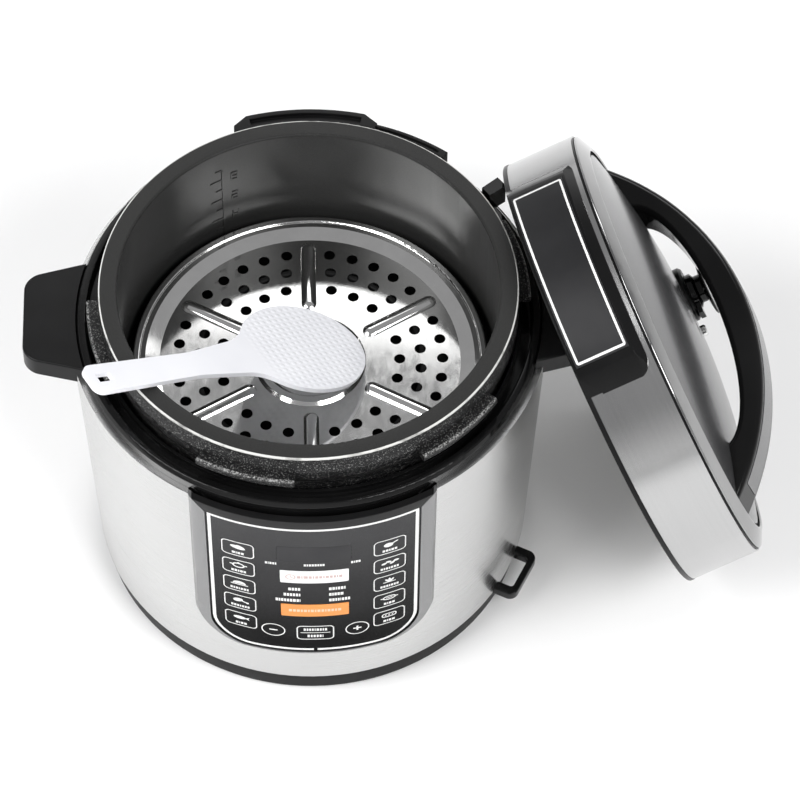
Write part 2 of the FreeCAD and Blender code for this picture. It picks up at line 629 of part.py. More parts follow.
def make_heating():
    node("heat_shield", revolved("heat_shield", [
        (60, S.ShieldLowZ), (S.ShieldRadius, S.ShieldLowZ), (S.ShieldRadius, S.ShieldTopZ),
        (S.ShieldRadius - S.ShieldWall, S.ShieldTopZ),
        (S.ShieldRadius - S.ShieldWall, S.ShieldLowZ + S.ShieldWall), (60, S.ShieldLowZ + S.ShieldWall)]))

    plate = revolved("plate_disc", [
        (S.PlateHole, S.PlateLowZ), (S.PlateRadius, S.PlateLowZ), (S.PlateRadius, S.PlateTopZ - 3),
        (S.PlateRadius - 4, S.PlateTopZ), (S.PlateHole, S.PlateTopZ)])
    legs = []
    for index in range(3):
        angle = math.radians(90 + 120 * index)
        leg_reach = 78
        legs.append(cylinder("plate_leg_%d" % index, 5, S.PlateLowZ - S.OuterPotFloorZ - S.OuterPotFloor,
                             leg_reach * math.cos(angle), leg_reach * math.sin(angle),
                             S.OuterPotFloorZ + S.OuterPotFloor))
    node("heating_plate", fuse("heating_plate", [plate] + legs))

    tube = doc.addObject("Part::Torus", "element_ring")
    bind(tube, "Radius1", S.ElementRadius)
    bind(tube, "Radius2", S.ElementWire)
    tube.Angle3 = 320
    level = S.PlateLowZ - S.ElementWire - 0.1
    tube.Placement = FreeCAD.Placement(FreeCAD.Vector(0, 0, level.number),
                                       FreeCAD.Rotation(FreeCAD.Vector(0, 0, 1), 20))
    tails = [cylinder("element_tail_%d" % index, S.ElementWire, level - 34, x, y, 34)
             for index, (x, y) in enumerate(element_ends())]
    node("heating_element", fuse("heating_element", [tube] + tails))

    cap = S.PlungerRadius
    node("sensor_plunger", revolved("sensor_plunger", [
        (0, 38), (4, 38), (4, 60), (cap, 60), (cap, S.PlateTopZ - 1), (cap - 1, S.PlateTopZ),
        (0, S.PlateTopZ)]))

    low, high = S.OuterPotFloorZ + S.OuterPotFloor + S.SpringWire + 0.1, 57.0
    helix = Part.makeHelix(3.1, high - low.number, S.SpringRadius.number)
    ring = Part.Wire(Part.makeCircle(S.SpringWire.number, FreeCAD.Vector(S.SpringRadius.number, 0, 0),
                                     FreeCAD.Vector(0, 1, 0)))
    spring = doc.addObject("Part::Feature", "sensor_spring")
    spring.Shape = Part.Wire(helix).makePipeShell([ring], True, True)
    spring.Placement.Base.z = low.number
    node("sensor_spring", spring)

    node("pressure_switch", fuse("pressure_switch", [
        box("switch_case", -11, -7, 5.6, 22, 14, 20), cylinder("switch_button", 3, 6, z=25.6)]))
    posts = []
    for index in range(3):
        angle = math.radians(-90 + 120 * index)
        post_reach = 50
        posts.append(cylinder("pot_post_%d" % index, 4, S.OuterPotFloorZ - 5.6,
                              post_reach * math.cos(angle), post_reach * math.sin(angle), 5.6))
    node("pot_supports", gather("pot_supports", posts))


# ---------------------------------------------------------------- cooking ware

def make_inner_pot():
    inside, wall, low = S.PotInner, S.PotWall, S.PotBottomZ
    lip_low = S.PotLipTopZ - S.PotLip
    pot = revolved("inner_pot", [
        (0, low), (inside + wall, low), (inside + wall, lip_low), (S.PotLipRadius, lip_low),
        (S.PotLipRadius, S.PotLipTopZ), (inside, S.PotLipTopZ), (inside, low + S.PotFloor),
        (0, low + S.PotFloor)])
    round_edges(pot, S.PotCorner, ring_edges((inside + wall, low), (inside, low + S.PotFloor)))
    round_edges(pot, 1.6, ring_edges((inside, S.PotLipTopZ)))
    round_edges(pot, 0.6, ring_edges((S.PotLipRadius, S.PotLipTopZ), (S.PotLipRadius, lip_low)))
    node("inner_pot", pot)


def make_stand():
    """A wire ring on three legs that carries the steamer tray."""
    level = S.TrayFloorZ - S.StandWire - 0.3
    foot = S.PotBottomZ + S.PotFloor + 0.1
    ring = doc.addObject("Part::Torus", "stand_ring")
    bind(ring, "Radius1", S.StandRadius)
    bind(ring, "Radius2", S.StandWire)
    bind(ring, "Placement.Base.z", level)
    low_ring = doc.addObject("Part::Torus", "stand_low_ring")
    bind(low_ring, "Radius1", S.StandRadius)
    bind(low_ring, "Radius2", S.StandWire)
    bind(low_ring, "Placement.Base.z", foot + S.StandWire)
    legs = []
    for index in range(4):
        angle = math.radians(15 + 90 * index)
        reach = S.StandRadius.number
        legs.append(cylinder("stand_leg_%d" % index, S.StandWire - 0.2, level - foot - S.StandWire,
                             reach * math.cos(angle), reach * math.sin(angle), foot + S.StandWire))
    node("steam_stand", fuse("steam_stand", [ring, low_ring] + legs))


def make_tray():
    floor, sheet_wall, rim = S.TrayFloorZ, S.TraySheet, S.TrayRimZ
    rise = S.TrayFloorRadius
    hub = 25
    dish = revolved("tray_dish", [
        (0, floor), (hub, floor), (hub + 2, floor + 1.5), (hub + 5, floor + 1.5), (hub + 7, floor),
        (rise, floor), (rise + 8, rim - 2.4), (S.TrayRimRadius, rim - 2.4), (S.TrayRimRadius, rim),
        (rise + 10.5, rim), (rise + 10.5, rim - 1.2), (rise + 7.6, rim - 1.2),
        (rise - 0.6, floor + sheet_wall), (hub + 7.4, floor + sheet_wall),
        (hub + 5.4, floor + 1.5 + sheet_wall), (hub + 1.6, floor + 1.5 + sheet_wall),
        (hub - 0.4, floor + sheet_wall), (0, floor + sheet_wall)])
    round_edges(dish, 1.0, ring_edges((S.TrayRimRadius, rim), (rise + 10.5, rim)))
    centre_hole = new_sketch(dish, "tray_centre_outline", "XY_Plane")
    draw_circle(centre_hole, (dim(0), dim(0)), 5)
    middle = dish.newObject("PartDesign::Pocket", "tray_centre_hole")
    middle.Profile = centre_hole
    middle.Reversed = True
    middle.Length = 160
    hole_sketch = new_sketch(dish, "tray_hole_outline", "XY_Plane")
    for reach, count in ((52, 3), (64.5, 4), (77, 5)):
        for index in range(count):
            angle = math.radians((index - (count - 1) / 2) * 13.2 * 60 / reach)
            spot = (dim(reach * math.cos(angle)), dim(reach * math.sin(angle)))
            draw_circle(hole_sketch, spot, S.TrayHole)
    punch = dish.newObject("PartDesign::Pocket", "tray_holes")
    punch.Profile = hole_sketch
    punch.Reversed = True
    punch.Length = 160
    doc.recompute()
    pattern = dish.newObject("PartDesign::PolarPattern", "tray_hole_ring")
    pattern.Originals = [punch]
    pattern.Axis = (hole_sketch, ["N_Axis"])
    pattern.Angle = 360
    pattern.Occurrences = 6
    dish.Tip = pattern
    doc.recompute()
    ribs = []
    for index in range(6):
        rib = doc.addObject("Part::Cylinder", "tray_rib_%d" % index)
        bind(rib, "Radius", S.RibRadius)
        rib.Height = 40
        angle = math.radians(30 + 60 * index)
        heading = FreeCAD.Vector(math.cos(angle), math.sin(angle), 0)
        sunk = FreeCAD.Vector(0, 0, (floor + sheet_wall + S.RibRise - S.RibRadius).number)
        rib.Placement = FreeCAD.Placement(
            heading * 41 + sunk, FreeCAD.Rotation(FreeCAD.Vector(0, 0, 1), heading))
        ribs.append(rib)
        for reach in (41, 81):
            end = doc.addObject("Part::Sphere", "tray_rib_end")
            bind(end, "Radius", S.RibRadius)
            end.Placement.Base = heading * reach + sunk
            ribs.append(end)
    above = box("rib_room", -120, -120, floor + 0.3, 240, 240, 10)
    raised = common("tray_ribs", fuse("tray_rib_rods", ribs), above)
    node("steamer_tray", fuse("steamer_tray", [dish, raised]))


def is_shoulder(edge):
    """An upright edge where the paddle's grip meets its blade."""
    middle = edge.valueAt((edge.FirstParameter + edge.LastParameter) / 2)
    upright = abs(edge.tangentAt(edge.FirstParameter).z) > 0.99
    return upright and -46 < middle.x - S.BladeCentre.number < -30


def make_paddle():
    """A flat rice paddle drawn along +X from its handle end, then tilted into the tray."""
    end, neck = S.PaddleEndHalf, S.PaddleNeckHalf
    grip = padded("paddle_grip", "XY_Plane", lambda sketch: draw_polygon(sketch, [
        (0, -end), (S.BladeCentre - 80, -neck), (S.BladeCentre - 28, -(neck + 6)),
        (S.BladeCentre - 28, neck + 6), (S.BladeCentre - 80, neck), (0, end)]), S.PaddleThick)
    round_edges(grip, 6, lambda edge, middle: abs(edge.tangentAt(edge.FirstParameter).z) > 0.99
                and middle.x < 1)
    round_edges(grip, 30, lambda edge, middle: abs(edge.tangentAt(edge.FirstParameter).z) > 0.99
                and abs(middle.x - S.BladeCentre.number + 80) < 1)
    blade_line = doc.addObject("Part::Ellipse", "blade_line")
    bind(blade_line, "MajorRadius", S.BladeHalfLength)
    bind(blade_line, "MinorRadius", S.BladeHalfWidth)
    bind(blade_line, "Placement.Base.x", S.BladeCentre)
    blade = doc.addObject("Part::Extrusion", "paddle_blade")
    blade.Base = blade_line
    blade.DirMode = "Normal"
    blade.Solid = True
    bind(blade, "LengthFwd", S.PaddleThick)
    solid = fuse("paddle_solid", [grip, blade])
    doc.recompute()
    soft = doc.addObject("Part::Fillet", "paddle_soft")
    soft.Base = solid
    soft.Edges = [(index, 26.0, 26.0) for index, edge in enumerate(solid.Shape.Edges, start=1)
                  if is_shoulder(edge)]
    hanger = box("paddle_hole", 6, -3, -1, 9.5, 6, 6)
    paddle = cut("rice_paddle", soft, hanger)
    start = FreeCAD.Vector(-122.7, -79.0, 251.2)
    azimuth = FreeCAD.Rotation(FreeCAD.Vector(0, 0, 1), 30.66)
    tilt = FreeCAD.Rotation(FreeCAD.Vector(0, 1, 0), 27.3)
    paddle.Placement = FreeCAD.Placement(start, azimuth * tilt)
    node("rice_paddle", paddle)


# ---------------------------------------------------------------- lid, about its own axis

def lid_place():
    """Leans the level lid against the cooker's right side, rim on the table."""
    about_z = FreeCAD.Vector(0, 0, 1)
    spin = FreeCAD.Rotation(about_z, S.LidSpin.number)
    lean = FreeCAD.Rotation(FreeCAD.Vector(0, 1, 0), 90 - S.LidElevation.number)
    swing = FreeCAD.Rotation(about_z, S.LidAzimuth.number)
    centre = FreeCAD.Vector(S.LidCentreX.number, S.LidCentreY.number, S.LidCentreZ.number)
    return FreeCAD.Placement(centre, swing * lean * spin)


def lid_node(name, item):
    """A lid sub-part: drawn level, then set in the lid's leaning place."""
    item.Placement = lid_place() * item.Placement
    return node(name, item)


def dome_ball(name, drop):
    """The sphere whose cap is the dome, lowered by a drop."""
    sag = S.DomeTopZ - S.DomeEdgeZ
    radius = (S.DomeRadius * S.DomeRadius + sag * sag) / (2 * sag)
    ball = doc.addObject("Part::Sphere", name)
    bind(ball, "Radius", radius - drop)
    bind(ball, "Placement.Base.z", S.DomeTopZ - radius)
    ball.Angle1 = 60
    return ball


def make_lid_casing():
    outer, inner, top = S.LidRadius, S.LidShroudInner, S.LidBandTopZ
    lid_node("lid_shroud", revolved("lid_shroud", [
        (inner, 0), (S.LidStripRadius - 0.6, 0), (S.LidStripRadius, 0.6), (S.LidStripRadius, S.LidStripZ),
        (outer - 1, S.LidStripZ), (outer - 1, top), (S.DomeRadius - 8, top), (S.DomeRadius - 8, top - 2.4),
        (inner, top - 2.4)]))
    lid_node("lid_steel_band", revolved("lid_steel_band", [
        (outer - 0.9, S.LidStripZ + 0.1), (outer, S.LidStripZ + 0.1), (outer, top - 0.9), (outer - 0.9, top - 0.9)]))
    lid_node("lid_bevel_ring", revolved("lid_bevel_ring", [
        (S.BevelInner, top + 0.1), (outer - 1.2, top + 0.1), (outer - 1.4, top + 1.4),
        (S.BevelInner + 1.6, S.BevelTopZ), (S.BevelInner, S.BevelTopZ - 0.4)]))

    valve_hole = cylinder("dome_valve_hole", 6.3, 60, S.ValveX, S.ValveY, 20)
    float_hole = cylinder("dome_float_hole", S.FloatRadius + 0.4, 60, S.FloatX, S.FloatY, 20)
    skirt = cylinder("dome_skirt", S.DomeRadius, 30, z=top + 0.1)
    shell = cut("dome_shell", common("dome_cap", dome_ball("dome_outer", 0), skirt),
                dome_ball("dome_inner", S.DomeWall))
    lid_node("lid_dome", cut("lid_dome", shell, fuse("dome_holes", [valve_hole, float_hole])))


def make_badge():
    reach, top = S.FairingRadius, S.FairingTopZ
    block = revolved("fairing_ring", [
        (S.LidRadius - 0.9, 0.8), (reach - 0.4, 0.8), (reach, 1.4), (reach, S.BadgeTopZ + 1.5),
        (S.LidRadius + 0.7, top), (S.LidRadius - 0.9, top)])
    plan = padded("fairing_plan", "XY_Plane", lambda sketch: draw_polygon(sketch, [
        (-62.5, -124), (-73.5, -110.8), (-60, -90), (60, -90), (73.5, -110.8), (62.5, -124), (62.5, -150),
        (-62.5, -150)]), 60)
    front = padded("fairing_front", "XZ_Plane", lambda sketch: draw_polygon(sketch, [
        (-73, 0), (73, 0), (73, top), (-73, top)]), 160)
    round_edges(front, 9, lambda edge, middle: edge.Length > 100 and middle.z > 30 and abs(middle.x) > 60)
    band_room = cylinder("fairing_band_room", S.LidRadius + 0.05, 60, z=S.LidStripZ + 0.05)
    strip_room = cylinder("fairing_strip_room", S.LidStripRadius + 0.05, 20, z=-10)
    plate_gap = badge_solid("badge_gap", 0.15, S.FairingRadius - 1.0, S.FairingRadius + 3)
    solid = common("fairing_solid", common("fairing_wedge", block, plan), front)
    gaps = fuse("fairing_gaps", [band_room, strip_room, plate_gap])
    lid_node("badge_fairing", cut("badge_fairing", solid, gaps))
    lid_node("badge_plate", badge_solid("badge_plate", 0, S.FairingRadius - 0.9, S.FairingRadius + 0.15))


def badge_solid(name, grow, inner, outer):
    """The curved rectangle of the badge between two radii."""
    ring = revolved(name + "_ring", [
        (inner, S.BadgeLowZ - grow), (outer, S.BadgeLowZ - grow), (outer, S.BadgeTopZ + grow),
        (inner, S.BadgeTopZ + grow)])
    slab = box(name + "_slab", -(S.BadgeHalf + grow), -160, -5, 2 * (S.BadgeHalf + grow), 60, 60)
    return common(name, ring, slab)


def make_lid_handle():
    half, width = S.ArchHalf, S.ArchWidth
    rise = S.ArchTopZ - S.ArchFootZ
    bow = (half * half + rise * rise) / (2 * rise)

    def drum(name, radius, depth):
        return cylinder(name, radius, depth, y=depth / 2, z=S.ArchTopZ - bow, forward=True)

    ends = box("arch_ends", -half, -(width / 2), S.ArchFootZ - 4, 2 * half, width, 70)
    arch_block = common("arch_block", drum("arch_drum", bow, width), ends)
    hole_line = doc.addObject("Part::Ellipse", "arch_hole_line")
    bind(hole_line, "MajorRadius", S.OpeningHalf)
    bind(hole_line, "MinorRadius", S.OpeningRise)
    hole_line.Placement.Rotation = FreeCAD.Rotation(FreeCAD.Vector(1, 0, 0), 90)
    bind(hole_line, "Placement.Base.z", S.OpeningFootZ)
    hole = doc.addObject("Part::Extrusion", "arch_hole")
    hole.Base = hole_line
    hole.DirMode = "Normal"
    hole.Solid = True
    hole.Symmetric = True
    bind(hole, "LengthFwd", 2 * width)
    arch = cut("arch_plain", arch_block, hole)
    doc.recompute()
    soft = doc.addObject("Part::Fillet", "arch_soft")
    soft.Base = arch
    picked = []
    for index, edge in enumerate(arch.Shape.Edges, start=1):
        middle = edge.valueAt((edge.FirstParameter + edge.LastParameter) / 2)
        if abs(abs(middle.y) - width.number / 2) < 0.01 and middle.z > S.ArchFootZ.number + 6:
            picked.append((index, 4.0, 4.0))
    soft.Edges = picked
    inlay_width = width - 11
    slot_ring = cut("inlay_slot_ring", drum("inlay_slot_outer", bow + 1, inlay_width),
                    drum("inlay_slot_inner", bow - 0.8, inlay_width + 2))
    slot = common("inlay_slot", slot_ring, box(
        "inlay_slot_span", 5.9 - half, -(width / 2), S.ArchFootZ + 7.9, 2 * half - 11.8, width, 70))
    seat = fuse("arch_seats", [dome_ball("arch_dome_room", -0.05), slot])
    lid_node("lid_handle", cut("lid_handle", soft, seat))

    strip = cut("inlay_strip", drum("inlay_outer", bow + 0.3, inlay_width - 0.2),
                drum("inlay_inner", bow - 0.75, inlay_width + 2))
    span = box("inlay_span", -(half - 6), -(width / 2), S.ArchFootZ + 8, 2 * half - 12, width, 70)
    lid_node("handle_inlay", common("handle_inlay", strip, span))


def make_valves():
    level = dim(61.5)
    seat = revolved("seat_turned", [
        (0, 34), (6, 34), (6, level - 4), (17, level - 4), (17, level + 3), (15.5, level + 4.5), (5, level + 4.5),
        (5, level + 7), (0, level + 7)])
    seat.Placement.Base = FreeCAD.Vector(S.ValveX.number, S.ValveY.number, 0)
    lid_node("valve_seat", cut("valve_seat", seat, cut(
        "seat_room", dome_ball("seat_dome_room", -0.05), cylinder("seat_stem_room", 6.2, 80, S.ValveX, S.ValveY, 0))))

    cap, top = S.ValveCapRadius, S.ValveTopZ
    knob = revolved("valve_knob", [
        (0, level + 7.1), (5.3, level + 7.1), (5.3, level + 4.7), (11, level + 4.7), (11, level + 8),
        (8.5, level + 9.5), (8.5, top - 3.4), (cap - 1, top - 1.8), (cap, top - 1.2), (cap, top - 0.4),
        (cap - 1, top), (0, top)])
    lever = box("valve_lever", 6, -4, level + 4.8, 11, 8, 3)
    turned_knob = fuse("steam_valve", [knob, lever])
    turned_knob.Placement.Base = FreeCAD.Vector(S.ValveX.number, S.ValveY.number, 0)
    lid_node("steam_valve", turned_knob)

    pin = revolved("float_pin", [
        (0, 22), (6, 22), (6, 24), (S.FloatRadius, 24), (S.FloatRadius, 66), (S.FloatRadius - 0.8, 66.8), (0, 66.8)])
    pin.Placement.Base = FreeCAD.Vector(S.FloatX.number, S.FloatY.number, 0)
    lid_node("float_valve", pin)


def make_pressure_lid():
    outer, wall = S.SkirtRadius, S.SkirtWall
    low, top = S.PlateLidLowZ, S.PlateLidTopZ
    dish = revolved("pressure_dish", [
        (0, low), (outer - wall, low), (outer - wall, S.LidLugLowZ), (outer, S.LidLugLowZ), (outer, top),
        (0, top)])
    lugs = []
    for index in range(6):
        start = -90 + 12.4 - S.LugAngle.number / 2 + 60 * index
        lugs.append(sector("lid_lug_%d" % index, S.LidLugInner, outer - 0.5, S.LidLugLowZ, S.LidLugTopZ,
                           start, S.LugAngle))
    valve_bore = cylinder("plate_valve_bore", 2.5, 20, S.ValveX, S.ValveY, 20)
    float_bore = cylinder("plate_float_bore", S.FloatRadius + 0.4, 20, S.FloatX, S.FloatY, 20)
    lid_node("pressure_lid", cut("pressure_lid", fuse("pressure_plate", [dish] + lugs),
                                 fuse("plate_bores", [valve_bore, float_bore])))
    lid_node("sealing_ring", revolved("sealing_ring", [
        (107, S.SealTopZ - 1.4), (109, S.SealTopZ - 1.4), (109, S.SealLowZ), (120.5, S.SealLowZ),
        (120.5, S.SealLowZ + 1.6), (111, S.SealLowZ + 1.6), (111, S.SealTopZ - 1.8), (122.5, S.SealTopZ - 1.8),
        (122.5, S.SealTopZ), (107, S.SealTopZ)]))
    filter_cap = revolved("steam_filter", [
        (9, S.PlateLidLowZ - 0.1), (9, 25), (7, 22), (0, 22), (0, 21), (7.6, 21), (10, 24.6),
        (10, S.PlateLidLowZ - 0.1)])
    filter_cap.Placement.Base = FreeCAD.Vector(S.ValveX.number, S.ValveY.number, 0)
    lid_node("steam_filter", filter_cap)


# ---------------------------------------------------------------- build, check and write

make_base()
make_shell()
make_collar()
make_guard()
make_handle("left_handle", -1)
make_handle("right_handle", 1)
make_bracket()
make_panel()
make_electronics()
make_outer_pot()
make_heating()
make_inner_pot()
make_stand()
make_tray()
make_paddle()
make_lid_casing()
make_badge()
make_lid_handle()
make_valves()
make_pressure_lid()
doc.recompute()

faults = [item.Name for item in doc.Objects if "Invalid" in item.State or "Error" in item.State]
for item in NODES:
    if item.Shape.isNull() or not item.Shape.isValid() or item.Shape.Volume <= 0:
        faults.append(item.Label + " has a bad shape")
if faults:
    raise RuntimeError("failed: " + ", ".join(faults))

os.makedirs("parts", exist_ok=True)
for item in NODES:
    item.Shape.exportStep(os.path.join("parts", item.Label + ".step"))
print("wrote", len(NODES), "parts")
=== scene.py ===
import bpy
import bmesh
import math
from mathutils import Matrix, Vector


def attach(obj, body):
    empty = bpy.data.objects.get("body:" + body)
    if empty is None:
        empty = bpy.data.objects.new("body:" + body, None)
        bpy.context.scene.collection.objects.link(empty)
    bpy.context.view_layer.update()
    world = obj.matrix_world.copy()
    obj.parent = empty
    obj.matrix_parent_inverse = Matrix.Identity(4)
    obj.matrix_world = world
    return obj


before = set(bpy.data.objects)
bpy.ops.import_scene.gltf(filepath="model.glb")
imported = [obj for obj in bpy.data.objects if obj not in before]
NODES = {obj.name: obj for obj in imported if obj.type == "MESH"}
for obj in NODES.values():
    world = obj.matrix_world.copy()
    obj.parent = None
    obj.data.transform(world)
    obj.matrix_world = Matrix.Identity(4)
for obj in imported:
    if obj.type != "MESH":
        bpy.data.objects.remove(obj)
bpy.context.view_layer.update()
MM = 0.001

# The lid's own frame: level, with +Z up its axis, set in its leaning place.
LID = (Matrix.Translation(Vector((169.4, 10.1, 125.3)) * MM)
       @ Matrix.Rotation(math.radians(14.1), 4, "Z")
       @ Matrix.Rotation(math.radians(90 - 20.6), 4, "Y")
       @ Matrix.Rotation(math.radians(-85), 4, "Z"))
# The paddle's own frame: +X from the grip's end to the blade, +Z out of its upper face.
PADDLE = (Matrix.Translation(Vector((-122.7, -79.0, 251.2)) * MM)
          @ Matrix.Rotation(math.radians(30.66), 4, "Z")
          @ Matrix.Rotation(math.radians(27.3), 4, "Y"))

# Sizes in millimetres, as in the CAD.
SHELL_LOW_Z, SHELL_TOP_Z = 18.2, 198.4
SHELL_LOW_RADIUS, SHELL_TOP_RADIUS = 129.4, 136.7
OVERLAY_PROUD = 1.5
BADGE_RADIUS, BADGE_PROUD = 138.2, 0.15
BADGE_Z, BADGE_BORDER = 18.6, (113.5, 28.6)
POT_WALL_RADIUS = 108.4
POT_EDGE_RADIUS = (118.1, 118.4)
KEY_X, KEY_LOWEST_Z, KEY_STEP, KEY_ROWS = 42.8, 79.0, 20.0, 5
ROUND_KEY_X, ROUND_KEY_Z = 24.3, 74.4
MIDDLE_KEY_Z = 73.4
TIME_BAR_Z, FEATURE_BAR_Z = 137.0, 99.0
BORDER_X, BORDER_TOP_Z, BORDER_LOW_Z, BORDER_CORNER = 58.2, 188.6, 54.0, 21.0
LID_ROOF_Z = 30.0

# Where the level marks stand, in degrees round the pot from +X.
LEVEL_MARKS_ANGLE = 117


# ---------------------------------------------------------------- camera, floor and light

def make_camera():
    forward = Vector((0.02201, 0.57204, -0.81993))
    across = Vector((0.99957, -0.02862, 0.00686))
    upward = across.cross(forward).normalized()
    across = forward.cross(upward).normalized()
    data = bpy.data.cameras.new("camera")
    data.sensor_width = 36
    data.lens = 182.07
    data.clip_end = 50
    camera = bpy.data.objects.new("camera", data)
    camera.matrix_world = Matrix((
        (across.x, upward.x, -forward.x, 0), (across.y, upward.y, -forward.y, -1.3633),
        (across.z, upward.z, -forward.z, 2.0702), (0, 0, 0, 1)))
    bpy.context.scene.collection.objects.link(camera)
    bpy.context.scene.camera = camera


def make_area(name, place, aim, size, power):
    data = bpy.data.lights.new(name, "AREA")
    data.shape = "RECTANGLE"
    data.size, data.size_y = size
    data.energy = power
    light = bpy.data.objects.new(name, data)
    light.location = place
    light.rotation_euler = (Vector(aim) - Vector(place)).to_track_quat("-Z", "Y").to_euler()
    bpy.context.scene.collection.objects.link(light)


def make_world(strength):
    world = bpy.data.worlds.new("studio")
    world.use_nodes = True
    tree = world.node_tree
    background = tree.nodes["Background"]
    where = tree.nodes.new("ShaderNodeTexCoord")
    split = tree.nodes.new("ShaderNodeSeparateXYZ")
    ramp = tree.nodes.new("ShaderNodeValToRGB")
    ramp.color_ramp.elements[0].position = 0.05
    ramp.color_ramp.elements[0].color = (1, 1, 1, 1)
    ramp.color_ramp.elements[1].position = 0.42
    ramp.color_ramp.elements[1].color = (0.36, 0.36, 0.365, 1)
    tree.links.new(where.outputs["Generated"], split.inputs[0])
    tree.links.new(split.outputs["Z"], ramp.inputs[0])
    tree.links.new(ramp.outputs[0], background.inputs["Color"])
    background.inputs["Strength"].default_value = strength
    bpy.context.scene.world = world


# ---------------------------------------------------------------- materials

class Look:
    """A procedural material, with short calls for the nodes that it needs."""

    def __init__(self, name, colour=(0.5, 0.5, 0.5), rough=0.5, metal=0.0, **more):
        self.material = bpy.data.materials.new(name)
        self.material.use_nodes = True
        self.material.diffuse_color = (*colour, 1)
        self.tree = self.material.node_tree
        self.shader = self.tree.nodes["Principled BSDF"]
        self.shader.inputs["Base Color"].default_value = (*colour, 1)
        self.shader.inputs["Roughness"].default_value = rough
        self.shader.inputs["Metallic"].default_value = metal
        for socket, value in more.items():
            self.shader.inputs[socket.replace("_", " ")].default_value = value

    def node(self, kind, **settings):
        made = self.tree.nodes.new("ShaderNode" + kind)
        for name, value in settings.items():
            setattr(made, name, value)
        return made

    def feed(self, source, target):
        """Links a socket to an input, or sets the input to a plain value."""
        if isinstance(source, bpy.types.NodeSocket):
            self.tree.links.new(source, target)
        else:
            target.default_value = source

    def place(self, matrix=None):
        """Position in metres, in the model's frame or in a frame given by its matrix."""
        where = self.node("TexCoord").outputs["Object"]
        if matrix is None:
            return where
        turn = self.node("Mapping", vector_type="TEXTURE")
        self.feed(where, turn.inputs["Vector"])
        turn.inputs["Location"].default_value = matrix.to_translation()
        turn.inputs["Rotation"].default_value = matrix.to_euler()
        return turn.outputs[0]

    def scaled(self, vector, scale):
        turn = self.node("Mapping")
        self.feed(vector, turn.inputs["Vector"])
        turn.inputs["Scale"].default_value = scale
        return turn.outputs[0]

    def noise(self, vector, scale, detail=2.0, rough=0.5):
        made = self.node("TexNoise")
        self.feed(vector, made.inputs["Vector"])
        made.inputs["Scale"].default_value = scale
        made.inputs["Detail"].default_value = detail
        made.inputs["Roughness"].default_value = rough
        return made.outputs[0]

    def cells(self, vector, scale, feature="F1", randomness=1.0):
        made = self.node("TexVoronoi", feature=feature)
        self.feed(vector, made.inputs["Vector"])
        made.inputs["Scale"].default_value = scale
        made.inputs["Randomness"].default_value = randomness
        return made.outputs["Distance"]

    def sum(self, kind, first, second=0.0):
        made = self.node("Math", operation=kind)
        self.feed(first, made.inputs[0])
        self.feed(second, made.inputs[1])
        return made.outputs[0]

    def axis(self, vector, name):
        made = self.node("SeparateXYZ")
        self.feed(vector, made.inputs[0])
        return made.outputs[name]

    def reach(self, vector):
        """Distance from the Z axis."""
        made = self.node("VectorMath", operation="LENGTH")
        self.feed(self.scaled(vector, (1, 1, 0)), made.inputs[0])
        return made.outputs["Value"]

    def remap(self, value, low, high, to_low=0.0, to_high=1.0):
        made = self.node("MapRange")
        self.feed(value, made.inputs["Value"])
        ends = {"From Min": low, "From Max": high, "To Min": to_low, "To Max": to_high}
        for name, number in ends.items():
            made.inputs[name].default_value = number
        return made.outputs[0]

    def blend(self, factor, first, second):
        made = self.node("Mix", data_type="RGBA")
        self.feed(factor, made.inputs["Factor"])
        for socket, value in ((made.inputs[6], first), (made.inputs[7], second)):
            self.feed((*value, 1) if isinstance(value, tuple) else value, socket)
        return made.outputs[2]

    def colour(self, source):
        self.feed(source, self.shader.inputs["Base Color"])
        return self

    def rough(self, source):
        self.feed(source, self.shader.inputs["Roughness"])
        return self

    def bump(self, height, depth_mm, strength=1.0):
        made = self.node("Bump")
        made.inputs["Strength"].default_value = strength
        made.inputs["Distance"].default_value = depth_mm * MM
        self.feed(height, made.inputs["Height"])
        before = self.shader.inputs["Normal"]
        if before.is_linked:
            self.feed(before.links[0].from_socket, made.inputs["Normal"])
        self.feed(made.outputs[0], before)
        return self


def brushed_steel(name, frame_matrix=None, tone=(0.60, 0.60, 0.597), rough=0.25):
    """Satin sheet, brushed round its own axis, with soft cloudy changes of tone."""
    look = Look(name, tone, rough, 1.0)
    where = look.place(frame_matrix)
    lines = look.noise(look.scaled(where, (9, 9, 3600)), 1.0, 3.0, 0.6)
    coarse = look.noise(look.scaled(where, (5, 5, 900)), 1.0, 2.0)
    cloud = look.noise(where, 9.0, 3.0)
    darker = tuple(c * 0.95 for c in tone)
    look.colour(look.blend(look.remap(look.sum("ADD", lines, coarse), 0.7, 1.3), darker, tone))
    grain = look.remap(lines, 0.3, 0.7, rough - 0.03, rough + 0.04)
    look.rough(look.sum("ADD", grain, look.remap(cloud, 0.3, 0.7, -0.02, 0.02)))
    return look.bump(lines, 0.004, 0.25)


def polished_steel(name, tone=(0.84, 0.84, 0.83), rough=0.08):
    """Pressed bright sheet: slow waves, fine wiping marks and a few dull smears."""
    look = Look(name, tone, rough, 1.0)
    where = look.place()
    waves = look.noise(where, 26.0, 1.0)
    wipes = look.noise(look.scaled(where, (260, 90, 300)), 1.0, 4.0, 0.65)
    smear = look.noise(where, 60.0, 4.0, 0.6)
    look.colour(look.blend(look.remap(smear, 0.35, 0.7), tuple(c * 0.92 for c in tone), tone))
    look.rough(look.sum("ADD", look.remap(wipes, 0.3, 0.75, rough - 0.03, rough + 0.05),
                        look.remap(smear, 0.5, 0.8, 0.0, 0.06)))
    look.bump(waves, 0.2, 0.2)
    return look.bump(wipes, 0.01, 0.25)


